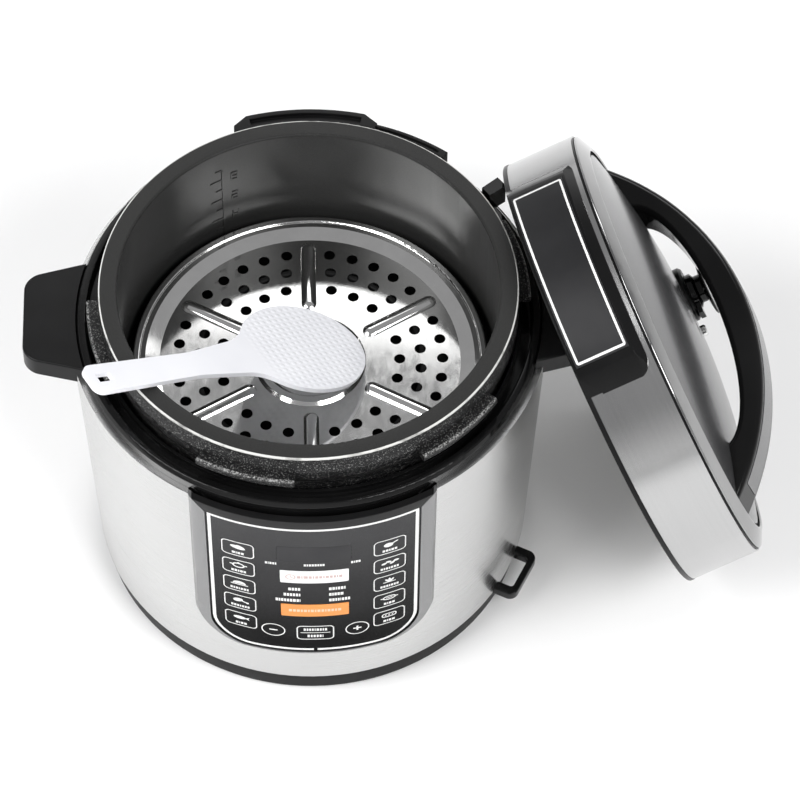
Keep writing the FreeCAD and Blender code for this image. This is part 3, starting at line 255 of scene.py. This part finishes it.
def moulded(name, tone, rough, grain_mm=0.03, grain=2200.0, **more):
    """Moulded plastic: fine spark-eroded grain, faint flow clouding and dust in the roughness."""
    look = Look(name, tone, rough, 0.0, **more)
    where = look.place()
    fine = look.noise(where, grain, 2.0)
    cloud = look.noise(where, 22.0, 3.0)
    dust = look.noise(where, 420.0, 2.0)
    lighter = tuple(min(1.0, c * 1.35 + 0.003) for c in tone)
    look.colour(look.blend(look.remap(cloud, 0.35, 0.75), tone, lighter))
    look.rough(look.sum("ADD", look.remap(cloud, 0.3, 0.7, rough - 0.03, rough + 0.03),
                        look.remap(dust, 0.55, 0.8, 0.0, 0.05)))
    return look.bump(fine, grain_mm, 0.4)


def metal_paint(name, tone, rough=0.34, metal=0.75):
    """Metallic paint: flake sparkle in its tone and roughness under a thin clear coat."""
    look = Look(name, tone, rough, metal, Coat_Weight=0.25, Coat_Roughness=0.12)
    where = look.place()
    flakes = look.cells(where, 5200.0)
    cloud = look.noise(where, 16.0, 2.0)
    look.colour(look.blend(look.remap(flakes, 0.1, 0.7), tuple(min(1, c * 1.3) for c in tone), tone))
    look.rough(look.remap(cloud, 0.3, 0.7, rough - 0.012, rough + 0.015))
    return look.bump(flakes, 0.002, 0.1)


def hammered_pot():
    """Black hammered enamel, with a speckled painted highlight on the lugs' lower outer corners and on
    the rim's top.
    """
    look = Look("hammered_enamel", (0.006, 0.006, 0.0065), 0.36, 0.0, Specular_IOR_Level=0.3)
    where = look.place()
    lumps = look.cells(where, 620.0, "SMOOTH_F1")
    pits = look.noise(where, 900.0, 3.0, 0.6)
    reach = look.reach(where)
    height = look.axis(where, "Z")
    # corner and rim mask the lugs' lower outer corners and the rim's top, where a speckled painted
    # highlight is laid in the colour.
    corner = look.sum("MULTIPLY", look.remap(reach, 0.1246, 0.1252),
                      look.remap(height, 0.2174, 0.2182))
    rim = look.remap(height, 0.2289, 0.2294)
    speck = look.remap(look.noise(where, 900.0, 4.0, 0.7), 0.47, 0.58)
    edge_highlight = look.sum("MULTIPLY", look.sum("MAXIMUM", corner, rim), speck)
    dots = look.remap(look.noise(where, 1300.0, 2.0, 0.6), 0.57, 0.67)
    marks = look.sum("MAXIMUM", edge_highlight, look.sum("MULTIPLY", dots, 0.6))
    # Pale grey: the painted highlight on those edges, and the scattered pale dots of the enamel.
    look.colour(look.blend(marks, (0.004, 0.004, 0.0043), (0.30, 0.30, 0.295)))
    look.rough(look.remap(pits, 0.3, 0.7, 0.28, 0.46))
    look.bump(lumps, 0.35, 0.6)
    return look.bump(pits, 0.15, 0.4)


def nonstick():
    """Grey non-stick coat with a fine fleck, bare bright metal round the lip's edge."""
    look = Look("nonstick_coat", (0.03, 0.03, 0.0295), 0.34, 0.0, Specular_IOR_Level=0.15)
    where = look.place()
    fleck = look.noise(where, 2600.0, 3.0, 0.7)
    cloud = look.noise(where, 18.0, 3.0)
    edge = look.remap(look.reach(where), *(reach * MM for reach in POT_EDGE_RADIUS))
    wear = look.sum("MULTIPLY", edge, look.remap(look.noise(where, 90.0, 3.0), 0.2, 0.45))
    coat = look.blend(look.remap(fleck, 0.35, 0.75), (0.016, 0.016, 0.0158), (0.036, 0.036, 0.0352))
    look.colour(look.blend(wear, coat, (0.62, 0.62, 0.60)))
    look.rough(look.remap(cloud, 0.3, 0.7, 0.30, 0.40))
    return look.bump(fleck, 0.03, 0.5)


def panel_film():
    """Printed control film: grey at the top fading to black, under a satin hard coat."""
    look = Look("panel_film", (0.03, 0.03, 0.032), 0.30, 0.0, Specular_IOR_Level=0.03)
    where = look.place()
    height = look.axis(where, "Z")
    soft = look.noise(where, 30.0, 2.0)
    fine = look.noise(where, 3400.0, 2.0)
    level = look.sum("ADD", look.remap(height, 0.060, 0.185), look.remap(soft, 0.3, 0.7, -0.05, 0.05))
    look.colour(look.blend(level, (0.001, 0.001, 0.0011), (0.058, 0.058, 0.060)))
    look.rough(look.remap(fine, 0.3, 0.7, 0.23, 0.31))
    return look.bump(fine, 0.006, 0.35)


def paddle_plastic():
    """White polypropylene with rows of raised dimples over the blade."""
    look = Look("paddle_plastic", (0.80, 0.82, 0.88), 0.33, 0.0, Specular_IOR_Level=0.4)
    where = look.place(PADDLE)
    fine = look.noise(where, 1500.0, 2.0)
    dots = look.cells(look.scaled(where, (230, 265, 0)), 1.0, "F1", 0.12)
    knobs = look.remap(dots, 0.18, 0.42, 1.0, 0.0)
    blade = look.remap(look.axis(where, "X"), 0.118, 0.128)
    cloud = look.noise(where, 25.0, 2.0)
    look.colour(look.blend(look.remap(cloud, 0.3, 0.7), (0.76, 0.765, 0.80), (0.81, 0.815, 0.845)))
    look.rough(look.remap(fine, 0.3, 0.7, 0.28, 0.38))
    look.bump(look.sum("MULTIPLY", knobs, blade), 0.35, 0.5)
    return look.bump(fine, 0.02, 0.3)


def circuit_board():
    """Green lacquered board with paler copper tracks."""
    look = Look("circuit_board", (0.02, 0.13, 0.05), 0.38, 0.0, Coat_Weight=0.3)
    where = look.place()
    tracks = look.cells(look.scaled(where, (260, 260, 260)), 1.0, "DISTANCE_TO_EDGE")
    look.colour(look.blend(look.remap(tracks, 0.04, 0.07), (0.08, 0.30, 0.13), (0.015, 0.12, 0.045)))
    look.rough(look.remap(look.noise(where, 300.0), 0.3, 0.7, 0.3, 0.45))
    return look.bump(tracks, 0.05, 0.4)


def cast_metal(name, tone, rough):
    """Cast and turned metal: faint lathe rings over a fine sandy skin."""
    look = Look(name, tone, rough, 1.0)
    where = look.place()
    rings = look.node("TexWave", wave_type="RINGS", rings_direction="Z")
    look.feed(where, rings.inputs["Vector"])
    rings.inputs["Scale"].default_value = 260.0
    rings.inputs["Distortion"].default_value = 1.5
    sand = look.noise(where, 900.0, 4.0, 0.6)
    look.colour(look.blend(look.remap(sand, 0.3, 0.7), tuple(c * 0.82 for c in tone), tone))
    look.rough(look.remap(sand, 0.3, 0.7, rough - 0.05, rough + 0.08))
    look.bump(rings.outputs["Fac"], 0.03, 0.4)
    return look.bump(sand, 0.05, 0.4)


def elastic(name, tone, rough=0.62):
    """Rubber or silicone with a dusty bloom."""
    look = Look(name, tone, rough)
    where = look.place()
    skin = look.noise(where, 1100.0, 3.0)
    bloom = look.noise(where, 60.0, 3.0)
    paler = tuple(min(1, c * 1.25 + 0.01) for c in tone)
    look.colour(look.blend(look.remap(bloom, 0.35, 0.7), tone, paler))
    look.rough(look.remap(skin, 0.3, 0.7, rough - 0.06, rough + 0.08))
    return look.bump(skin, 0.04, 0.4)


def ink(name, tone, rough=0.42):
    """Screen-printed ink with a slightly uneven film."""
    look = Look(name, tone, rough)
    where = look.place()
    mottle = look.noise(where, 900.0, 3.0)
    look.colour(look.blend(look.remap(mottle, 0.25, 0.75), tuple(c * 0.86 for c in tone), tone))
    look.rough(look.remap(mottle, 0.3, 0.7, rough - 0.05, rough + 0.08))
    return look.bump(mottle, 0.01, 0.3)


def heat_stained():
    """A steel tube stained brown and grey by heat."""
    look = Look("heat_stained_tube", (0.30, 0.28, 0.26), 0.4, 1.0)
    where = look.place()
    stain = look.noise(where, 70.0, 4.0)
    look.colour(look.blend(look.remap(stain, 0.35, 0.65), (0.20, 0.16, 0.13), (0.42, 0.41, 0.40)))
    look.rough(look.remap(stain, 0.3, 0.7, 0.3, 0.5))
    return look.bump(look.noise(where, 1400.0), 0.02, 0.4)


def dress_nodes():
    """Gives every CAD node its material."""
    black_satin = moulded("black_satin_plastic", (0.005, 0.005, 0.0052), 0.32, Specular_IOR_Level=0.16)
    black_gloss = moulded("black_gloss_plastic", (0.003, 0.003, 0.0031), 0.10, 0.008, 900.0,
                          Specular_IOR_Level=0.27)
    satin_steel = brushed_steel("satin_steel")
    lid_steel = brushed_steel("lid_satin_steel", LID, (0.50, 0.50, 0.50), 0.20)
    base_black = moulded("base_black_plastic", (0.003, 0.003, 0.0032), 0.40, Specular_IOR_Level=0.05)
    bright = polished_steel("polished_steel")
    sheet = brushed_steel("pressed_sheet", None, (0.62, 0.62, 0.61), 0.36)
    lid_sheet = brushed_steel("pressed_lid_sheet", LID, (0.62, 0.62, 0.61), 0.34)
    dome = metal_paint("dome_grey_metallic", (0.06, 0.06, 0.062), 0.20, 0.25)
    trim = metal_paint("trim_grey_metallic", (0.21, 0.21, 0.212), 0.28, 0.85)
    inlay = metal_paint("inlay_grey_metallic", (0.13, 0.13, 0.132), 0.22, 0.6)
    film = panel_film()
    badge = moulded("badge_film", (0.014, 0.014, 0.015), 0.30, 0.006, 3000.0, Specular_IOR_Level=0.25)
    window = moulded("window_film", (0.034, 0.034, 0.036), 0.20, 0.004, 800.0, Specular_IOR_Level=0.06)
    white_key = moulded("white_key_film", (0.80, 0.80, 0.80), 0.30, 0.01, 1800.0)
    orange_key = moulded("orange_key_film", (0.72, 0.25, 0.035), 0.32, 0.01, 1800.0)
    cast = cast_metal("cast_aluminium", (0.72, 0.72, 0.71), 0.38)
    board = circuit_board()
    brass = cast_metal("plated_brass", (0.80, 0.58, 0.25), 0.25)
    given = {
        "steel_shell": satin_steel, "lid_steel_band": lid_steel, "steamer_tray": bright,
        "steam_stand": moulded("coated_wire", (0.004, 0.004, 0.004), 0.5, Specular_IOR_Level=0.08),
        "lid_bevel_ring": polished_steel("bevel_steel", (0.34, 0.34, 0.34), 0.05),
        "float_valve": bright, "base_pan": sheet, "heat_shield": sheet, "pot_supports": sheet,
        "pressure_lid": lid_sheet, "steam_filter": lid_sheet, "sensor_spring": sheet,
        "top_collar": black_gloss, "lid_handle": black_gloss, "steam_valve": black_gloss,
        "lid_dome": dome, "panel_frame": trim, "handle_inlay": inlay, "panel_overlay": film,
        "badge_plate": badge, "display_window": window, "outer_pot": hammered_pot(),
        "inner_pot": nonstick(), "heating_plate": cast, "sensor_plunger": cast,
        "heating_element": heat_stained(), "sealing_ring": elastic("silicone", (0.55, 0.55, 0.53)),
        "rubber_feet": elastic("foot_rubber", (0.015, 0.015, 0.015), 0.7),
        "rice_paddle": paddle_plastic(), "power_board": board, "display_board": board,
        "inlet_pins": brass, "key_time": white_key, "key_feature": orange_key,
        "badge_fairing": black_gloss, "side_bracket": black_gloss, "base_ring": base_black,
    }
    for name, item in NODES.items():
        look = given.get(name, film if name.startswith("key_") else black_satin)
        item.data.materials.clear()
        item.data.materials.append(look.material)


# Widths in millimetres of the small rounds on the edges of the thicker parts.
SOFT_EDGES = {
    "base_ring": 0.5, "top_collar": 0.35, "rear_guard": 0.6, "left_handle": 0.5, "right_handle": 0.5,
    "outer_pot": 0.5, "inner_pot": 0.3, "rice_paddle": 1.1, "panel_frame": 0.4, "panel_apron": 0.3,
    "side_bracket": 0.7, "lid_handle": 0.6, "steam_valve": 0.4, "valve_seat": 0.4, "badge_fairing": 0.5,
    "lid_bevel_ring": 0.6, "lid_shroud": 0.3, "heating_plate": 0.8, "sealing_ring": 0.3,
    "rubber_feet": 0.4, "float_valve": 0.3, "power_inlet": 0.5, "steamer_tray": 0.2,
    "pressure_lid": 0.3, "lid_dome": 0.3, "sensor_plunger": 0.4, "power_board": 0.2,
}


OTHER_EDGE = 0.12

# Bright sheet keeps the CAD's own normals, so that reflections run true.
MIRROR_NODES = ("steamer_tray", "lid_dome", "lid_steel_band", "steel_shell", "pressure_lid")


def soften_nodes():
    """Smooth shading with crisp edges, and a small round on the edges of thick parts."""
    for name, item in NODES.items():
        for face in item.data.polygons:
            face.use_smooth = True
        if name in MIRROR_NODES:
            continue
        weld = item.modifiers.new("weld", "WELD")
        weld.merge_threshold = 0.00001
        bevel = item.modifiers.new("edges", "BEVEL")
        bevel.width = SOFT_EDGES.get(name, OTHER_EDGE) * MM
        bevel.segments = 2
        bevel.limit_method = "ANGLE"
        bevel.angle_limit = math.radians(32)
        bevel.use_clamp_overlap = True
        bevel.harden_normals = False
        normals = item.modifiers.new("normals", "WEIGHTED_NORMAL")
        normals.keep_sharp = True
        normals.weight = 60


# ---------------------------------------------------------------- thin printed and moulded marks

def shell_radius(height):
    slope = (SHELL_TOP_RADIUS - SHELL_LOW_RADIUS) / (SHELL_TOP_Z - SHELL_LOW_Z)
    return SHELL_LOW_RADIUS + slope * (height - SHELL_LOW_Z)


def on_panel(x, z, lift):
    """A point on the control film, at x and z in millimetres, raised by lift."""
    reach = shell_radius(z) + OVERLAY_PROUD + lift
    return Vector((x, -math.sqrt(reach * reach - x * x), z)) * MM


def on_badge(x, z, lift):
    """A point on the badge, at x and z in the lid's own frame."""
    reach = BADGE_RADIUS + BADGE_PROUD + lift
    return LID @ (Vector((x, -math.sqrt(reach * reach - x * x), z)) * MM)


def in_pot(along, z, lift):
    """A point on the inner pot's wall; along is millimetres round from the mark's own place."""
    reach = POT_WALL_RADIUS - lift
    angle = math.radians(LEVEL_MARKS_ANGLE) + along / POT_WALL_RADIUS
    return Vector((reach * math.cos(angle), reach * math.sin(angle), z)) * MM


def rounded(cx, cz, width, height, radius, steps=6):
    """Points round a rectangle with round corners."""
    points = []
    for side, level, start in ((1, 1, 0), (-1, 1, 90), (-1, -1, 180), (1, -1, 270)):
        x, z = cx + side * (width / 2 - radius), cz + level * (height / 2 - radius)
        for step in range(steps + 1):
            angle = math.radians(start + 90 * step / steps)
            points.append((x + radius * math.cos(angle), z + radius * math.sin(angle)))
    return points


def oval(cx, cz, wide, high, tilt=0.0, steps=20):
    """Points round an ellipse of half axes wide and high, turned by tilt degrees."""
    turn = math.radians(tilt)
    points = []
    for step in range(steps):
        angle = math.tau * step / steps
        x, z = wide * math.cos(angle), high * math.sin(angle)
        points.append((cx + x * math.cos(turn) - z * math.sin(turn),
                       cz + x * math.sin(turn) + z * math.cos(turn)))
    return points


def divided(points, closed, longest=2.0):
    """The same line with its long runs divided, so that it follows a curved face."""
    made = []
    count = len(points)
    for index in range(count if closed else count - 1):
        start, end = Vector(points[index]), Vector(points[(index + 1) % count])
        parts = max(1, math.ceil((end - start).length / longest))
        made += [tuple(start.lerp(end, part / parts)) for part in range(parts)]
    if not closed:
        made.append(tuple(points[-1]))
    return made


DASH_GAP = 0.42


def row_width(widths, gap=DASH_GAP):
    return sum(widths) + gap * (len(widths) - 1)


class Print:
    """A mesh of thin raised shapes laid on a surface."""

    def __init__(self, surface, low=-0.03, high=0.09):
        self.mesh = bmesh.new()
        self.surface = surface
        self.low, self.high = low, high

    def column(self, x, z):
        return [self.mesh.verts.new(self.surface(x, z, lift)) for lift in (self.low, self.high)]

    def line(self, points, width, closed=False):
        """A strip of even width along a line."""
        points = divided(points, closed)
        count = len(points)
        rails = []
        for index, point in enumerate(points):
            here = Vector(point)
            before = Vector(points[index - 1]) if closed or index else here
            after = Vector(points[(index + 1) % count]) if closed or index < count - 1 else here
            first = (here - before).normalized() if (here - before).length > 1e-6 else None
            second = (after - here).normalized() if (after - here).length > 1e-6 else None
            first, second = first or second, second or first
            middle = (first + second).normalized()
            side = Vector((-middle.y, middle.x))
            stretch = 1.0 / max(0.5, middle.dot(first))
            step = side * (width / 2 * stretch)
            rails.append((self.column(*(here + step)), self.column(*(here - step))))
        for index in range(count if closed else count - 1):
            (a0, a1), (b0, b1) = rails[index]
            (c0, c1), (d0, d1) = rails[(index + 1) % count]
            for corners in ((a1, b1, d1, c1), (a0, c0, d0, b0), (a0, a1, c1, c0), (b0, d0, d1, b1)):
                self.mesh.faces.new(corners)
        if not closed:
            for (a0, a1), (b0, b1) in (rails[0], rails[-1]):
                self.mesh.faces.new((a0, b0, b1, a1))

    def blob(self, outline):
        """A filled shape."""
        rim = [self.column(x, z) for x, z in outline]
        self.mesh.faces.new([high for low, high in rim])
        self.mesh.faces.new([low for low, high in reversed(rim)])
        for index, (low, high) in enumerate(rim):
            next_low, next_high = rim[(index + 1) % len(rim)]
            self.mesh.faces.new((low, next_low, next_high, high))

    def dashes(self, cx, cz, widths, height, gap=DASH_GAP):
        """A row of small blocks in place of a printed word."""
        x = cx - row_width(widths, gap) / 2
        for width in widths:
            self.line([(x, cz), (x + width, cz)], height)
            x += width + gap

    def finish(self, name, body, look):
        bmesh.ops.recalc_face_normals(self.mesh, faces=self.mesh.faces)
        data = bpy.data.meshes.new(name)
        self.mesh.to_mesh(data)
        self.mesh.free()
        data.materials.append(look.material)
        item = bpy.data.objects.new(name, data)
        bpy.context.scene.collection.objects.link(item)
        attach(item, body)


def draw_grain(art, x, z):
    art.blob(oval(x, z, 4.3, 1.7, -12))
    art.blob(oval(x + 1.5, z + 0.9, 2.6, 1.0, -28))


def draw_pot(art, x, z):
    art.line(oval(x, z, 3.1, 2.1), 0.9, True)
    art.line([(x - 4.9, z + 0.5), (x - 3.6, z + 0.4)], 0.9)
    art.line([(x + 3.6, z + 0.4), (x + 4.9, z + 0.5)], 0.9)
    art.blob(oval(x, z + 2.6, 0.8, 0.6))


def draw_dome(art, x, z):
    half = [(x + 3.8 * math.cos(math.radians(a)), z - 0.8 + 2.9 * math.sin(math.radians(a)))
            for a in range(0, 181, 15)]
    art.blob(half)
    art.line([(x - 4.9, z - 1.7), (x + 4.9, z - 1.7)], 0.7)


def draw_leg(art, x, z):
    art.blob(oval(x - 1.2, z + 0.4, 2.9, 1.8, 18))
    art.line([(x + 1.2, z - 0.2), (x + 3.9, z - 1.3)], 0.9)
    art.blob(oval(x + 4.2, z - 1.5, 0.8, 0.8))


def draw_fish(art, x, z):
    art.blob(oval(x - 0.8, z, 3.5, 1.6))
    art.blob([(x + 2.3, z), (x + 4.9, z + 1.7), (x + 4.2, z), (x + 4.9, z - 1.7)])


def draw_ladle(art, x, z):
    art.blob(oval(x - 0.8, z - 0.3, 2.7, 2.1))
    art.line([(x + 1.5, z + 0.6), (x + 4.5, z + 2.3)], 0.8)


def draw_beans(art, x, z):
    for dx, dz, tilt in ((-3.2, -0.4, 20), (-0.6, 0.8, -15), (1.5, -0.9, 35), (3.7, 0.7, 0)):
        art.blob(oval(x + dx, z + dz, 1.6, 0.95, tilt))


def draw_leaves(art, x, z):
    for turn in (-38, 0, 38):
        angle = math.radians(90 + turn)
        art.blob(oval(x + 2.0 * math.cos(angle), z - 1.6 + 2.0 * math.sin(angle), 2.0, 0.75, 90 + turn))
    art.line([(x - 3.6, z - 1.9), (x + 3.6, z - 1.9)], 0.6)


def draw_pan(art, x, z):
    art.line(oval(x, z, 3.5, 1.8), 0.8, True)
    art.line([(x - 5.0, z), (x - 3.9, z)], 0.8)
    art.line([(x + 3.9, z), (x + 5.0, z)], 0.8)
    art.line([(x - 1.8, z), (x + 1.8, z)], 0.6)


def draw_loaf(art, x, z):
    art.line(rounded(x, z, 8.0, 3.6, 1.6), 0.7, True)
    for dx in (-2.0, 0.0, 2.0):
        art.line([(x + dx - 0.4, z - 0.7), (x + dx + 0.4, z + 0.7)], 0.6)


# Widths of the small blocks under each key's picture, in place of a word.
LABELS = ((1.7, 0.6, 1.5, 1.6), (1.4, 1.5, 0.8, 1.5, 1.4), (1.3, 0.9, 1.2, 0.7, 1.3, 1.3, 1.1),
          (1.2, 1.3, 1.2, 0.7, 1.3, 1.0, 1.2), (1.5, 0.6, 1.4, 1.5))


def make_panel_print():
    """The outline, picture and blocks on each key and selector bar."""
    white = ink("white_ink", (0.86, 0.86, 0.85))
    dusky = ink("dusky_ink", (0.62, 0.46, 0.44))
    pale = ink("pale_orange_ink", (0.86, 0.60, 0.42))
    icons = {"left": (draw_grain, draw_pot, draw_dome, draw_leg, draw_fish),
             "right": (draw_ladle, draw_beans, draw_leaves, draw_pan, draw_loaf)}
    for side, word in ((-1, "left"), (1, "right")):
        for row in range(KEY_ROWS):
            x, z = side * KEY_X, KEY_LOWEST_Z + (KEY_ROWS - 1 - row) * KEY_STEP
            name = "key_%s_%d" % (word, row + 1)
            art = Print(on_panel)
            art.line(rounded(x, z, 17.7, 14.7, 2.7), 0.62, True)
            icons[word][row](art, x, z + 1.9)
            art.dashes(x, z - 4.2, LABELS[(row + (side > 0)) % KEY_ROWS], 2.1)
            art.finish(name + "_print", name, white)

    for name, x, plus in (("key_minus", -ROUND_KEY_X, False), ("key_plus", ROUND_KEY_X, True)):
        z = ROUND_KEY_Z
        art = Print(on_panel)
        art.line(oval(x, z, 6.6, 6.6, steps=40), 0.66, True)
        art.line([(x - 2.4, z), (x + 2.4, z)], 1.1)
        if plus:
            art.line([(x, z + 0.6), (x, z + 2.4)], 1.1)
            art.line([(x, z - 0.6), (x, z - 2.4)], 1.1)
        art.finish(name + "_print", name, white)

    z = MIDDLE_KEY_Z
    art = Print(on_panel)
    art.line(rounded(0, z, 21.0, 15.0, 2.6), 0.66, True)
    art.line([(-8.6, z), (8.6, z)], 0.5)
    art.dashes(0, z + 3.6, (1.2, 1.0, 1.0, 1.1, 0.6, 1.5, 1.0, 0.8, 1.3), 2.6, 0.5)
    art.dashes(0, z - 3.8, (1.3, 1.0, 1.2, 1.1, 1.1, 0.5), 2.6, 0.6)
    art.finish("key_cancel_print", "key_cancel", white)

    x, z = -13.6, TIME_BAR_Z
    art = Print(on_panel)
    art.line(oval(x, z, 2.6, 2.6), 0.55, True)
    art.line([(x, z + 1.6), (x, z), (x + 1.3, z - 0.8)], 0.5)
    art.dashes(3.0, z, (1.9, 0.7, 2.4, 1.7, 0.9, 1.7, 1.7, 0.8, 1.9, 1.6, 1.3, 0.7, 1.8), 2.6, 0.55)
    art.finish("key_time_print", "key_time", dusky)

    art = Print(on_panel)
    art.dashes(0.0, FEATURE_BAR_Z,
               (1.8, 1.6, 1.7, 1.1, 1.8, 1.0, 1.7, 0.9, 1.7, 1.5, 0.8, 1.6, 1.5, 1.1, 1.8), 2.6, 0.6)
    art.finish("key_feature_print", "key_feature", pale)


def make_overlay_print():
    """The panel's white border, open at its foot, and the rows of blocks round the bars."""
    white = ink("border_ink", (0.88, 0.88, 0.87))
    art = Print(on_panel)
    centre_x, centre_z = -BORDER_X + BORDER_CORNER, BORDER_LOW_Z + BORDER_CORNER
    corner = [(centre_x - BORDER_CORNER * math.cos(math.radians(a)),
               centre_z - BORDER_CORNER * math.sin(math.radians(a))) for a in range(0, 91, 10)]
    left = [(-1.1, BORDER_TOP_Z), (-BORDER_X, BORDER_TOP_Z)] + corner + [(-1.1, BORDER_LOW_Z)]
    art.line(left, 1.9)
    art.line([(-x, z) for x, z in left], 1.9)
    art.line([(-1.3, BORDER_TOP_Z), (1.3, BORDER_TOP_Z)], 1.86)
    above_bar = ((-24.5, (1.2, 0.5, 1.2, 1.1, 0.7)), (0.0, (1.2, 0.9, 1.1, 1.2, 1.2, 1.1, 0.9, 1.2)),
                 (23.5, (1.3, 0.5, 1.1, 1.2)))
    for x, widths in above_bar:
        art.dashes(x, 150.6, widths, 2.2)
    rows = ((123.4, (1.5, 1.3, 1.4, 1.3), (1.5, 1.4, 0.8, 1.4, 1.4, 0.8)),
            (117.0, (1.4, 1.3, 1.3, 1.3, 1.3, 0.8), (1.4, 0.8, 1.3, 1.3, 1.7)),
            (110.6, (1.3, 1.0, 1.3, 1.2, 1.3, 1.3, 1.6, 1.3, 0.5),
             (1.4, 1.3, 1.0, 1.0, 0.5, 1.3, 1.3, 1.2)))
    inner_end = 8.2
    for z, near, far in rows:
        art.dashes(-inner_end - row_width(near) / 2, z, near, 2.9)
        art.dashes(inner_end + row_width(far) / 2, z, far, 2.9)
    art.finish("overlay_print", "cooker", white)


def make_badge_print():
    art = Print(on_badge)
    art.line(rounded(0, BADGE_Z, *BADGE_BORDER, 0.8), 1.3, True)
    art.finish("badge_border_print", "lid", ink("badge_ink", (0.80, 0.80, 0.79)))


def make_level_marks():
    """Raised filling marks on the inner pot's wall: a scale with generic numbers."""
    strokes = {
        "2": ((0, 2), (1, 2), (1, 1), (0, 1), (0, 0), (1, 0)),
        "4": ((0, 2), (0, 1), (1, 1), (1, 2), (1, 0)),
        "6": ((1, 2), (0, 2), (0, 0), (1, 0), (1, 1), (0, 1)),
        "8": ((0, 1), (0, 2), (1, 2), (1, 0), (0, 0), (0, 1), (1, 1)),
    }
    art = Print(in_pot, -0.1, 0.5)
    first_level, level_step = 152, 18
    art.line([(0, 148), (0, 214)], 0.9)
    for index, figure in enumerate("2468"):
        level = first_level + level_step * index
        halfway = level + level_step / 2
        art.line([(0.3, level), (8.0, level)], 0.8)
        art.line([(0.3, halfway), (4.5, halfway)], 0.7)
        points = [(-9.5 + 3.6 * x, level - 3.0 + 3.0 * z) for x, z in strokes[figure]]
        for start, end in zip(points, points[1:]):
            art.line([start, end], 0.75)
    look = nonstick()
    look.material.name = "level_mark_coat"
    art.finish("level_marks", "inner_pot", look)


# ---------------------------------------------------------------- turned and pressed details

def turned_piece(name, outline, places, body, look, steps):
    """Small parts turned about local Z from (radius, height) points, one at each place matrix."""
    mesh = bmesh.new()
    for matrix in places:
        rings = []
        for reach, height in outline:
            if reach < 1e-6:
                rings.append([mesh.verts.new(matrix @ Vector((0, 0, height * MM)))])
                continue
            turns = [math.tau * k / steps for k in range(steps)]
            rings.append([mesh.verts.new(matrix @ (Vector((
                reach * math.cos(turn), reach * math.sin(turn), height)) * MM)) for turn in turns])
        for low, high in zip(rings, rings[1:]):
            for k in range(steps):
                after = (k + 1) % steps
                corners = [low[k % len(low)], low[after % len(low)], high[after % len(high)],
                           high[k % len(high)]]
                unique = [c for n, c in enumerate(corners) if c not in corners[:n]]
                if len(unique) > 2:
                    mesh.faces.new(unique)
    bmesh.ops.recalc_face_normals(mesh, faces=mesh.faces)
    data = bpy.data.meshes.new(name)
    mesh.to_mesh(data)
    mesh.free()
    for face in data.polygons:
        face.use_smooth = True
    data.materials.append(look.material)
    item = bpy.data.objects.new(name, data)
    bpy.context.scene.collection.objects.link(item)
    bevel = item.modifiers.new("edges", "BEVEL")
    bevel.width = 0.15 * MM
    bevel.segments = 2
    bevel.angle_limit = math.radians(35)
    item.modifiers.new("normals", "WEIGHTED_NORMAL")
    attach(item, body)


def spot_below(x, y, z):
    """A place at x, y and z in millimetres, with local +Z pointing down."""
    return Matrix.Translation(Vector((x, y, z)) * MM) @ Matrix.Rotation(math.pi, 4, "X")


def make_fixings():
    """The base pan's screws, and the nut and ring at the middle of the lid's underside."""
    zinc = cast_metal("zinc_plate", (0.62, 0.63, 0.66), 0.3)
    pan_head = [(0, 0.6), (1.0, 0.6), (1.2, 1.5), (2.6, 1.5), (3.3, 0.9), (3.4, 0.0),
                (3.4, -0.4), (0, -0.4)]
    screw_circle, pan_low_z = 88, 3.0
    places = [spot_below(screw_circle * math.cos(math.radians(a)),
                         screw_circle * math.sin(math.radians(a)), pan_low_z)
              for a in (15, 105, 195, 285)]
    turned_piece("base_screws", pan_head, places, "cooker", zinc, 24)
    nut = [(0, 1.0), (3.0, 1.0), (3.4, 3.2), (6.4, 3.2), (7.4, 2.2), (7.6, 0.0), (7.6, -0.3), (0, -0.3)]
    lid_middle = LID @ spot_below(0, 0, LID_ROOF_Z)
    turned_piece("lid_centre_nut", nut, [lid_middle], "lid", zinc, 32)
    ring = [(12.4, -0.2), (12.4, 1.2), (13.2, 2.0), (16.6, 2.0), (17.4, 1.2), (17.4, -0.2),
            (12.4, -0.2)]
    turned_piece("lid_boss_ring", ring, [lid_middle], "lid",
                 brushed_steel("boss_steel", LID, (0.6, 0.6, 0.6), 0.3), 48)


# ---------------------------------------------------------------- the scene

FLOOR_HALF = 20.0


def make_floor():
    mesh = bmesh.new()
    bmesh.ops.create_grid(mesh, x_segments=8, y_segments=8, size=FLOOR_HALF)
    data = bpy.data.meshes.new("floor")
    mesh.to_mesh(data)
    mesh.free()
    look = Look("floor_paper", (0.86, 0.86, 0.86), 0.75)
    fine = look.noise(look.place(), 300.0, 2.0)
    look.rough(look.remap(fine, 0.3, 0.7, 0.7, 0.8))
    data.materials.append(look.material)
    floor = bpy.data.objects.new("floor", data)
    bpy.context.scene.collection.objects.link(floor)


def make_light():
    make_world(0.9)
    make_area("key", (-1.9, -0.9, 2.2), (0.05, 0, 0.1), (1.7, 1.7), 76)
    make_area("fill", (1.5, -1.6, 2.3), (0.05, 0, 0.1), (1.8, 1.2), 66)
    make_area("far", (0.3, 2.6, 2.4), (0.1, 0.6, 0.0), (2.6, 0.6), 22)
    make_area("strip", (0.25, 1.5, 2.1), (0.05, 0, 0.1), (1.6, 0.18), 1.6)


bpy.context.scene.view_settings.view_transform = "Standard"
make_camera()
make_floor()
make_light()
dress_nodes()
soften_nodes()
make_panel_print()
make_overlay_print()
make_badge_print()
make_level_marks()
make_fixings()
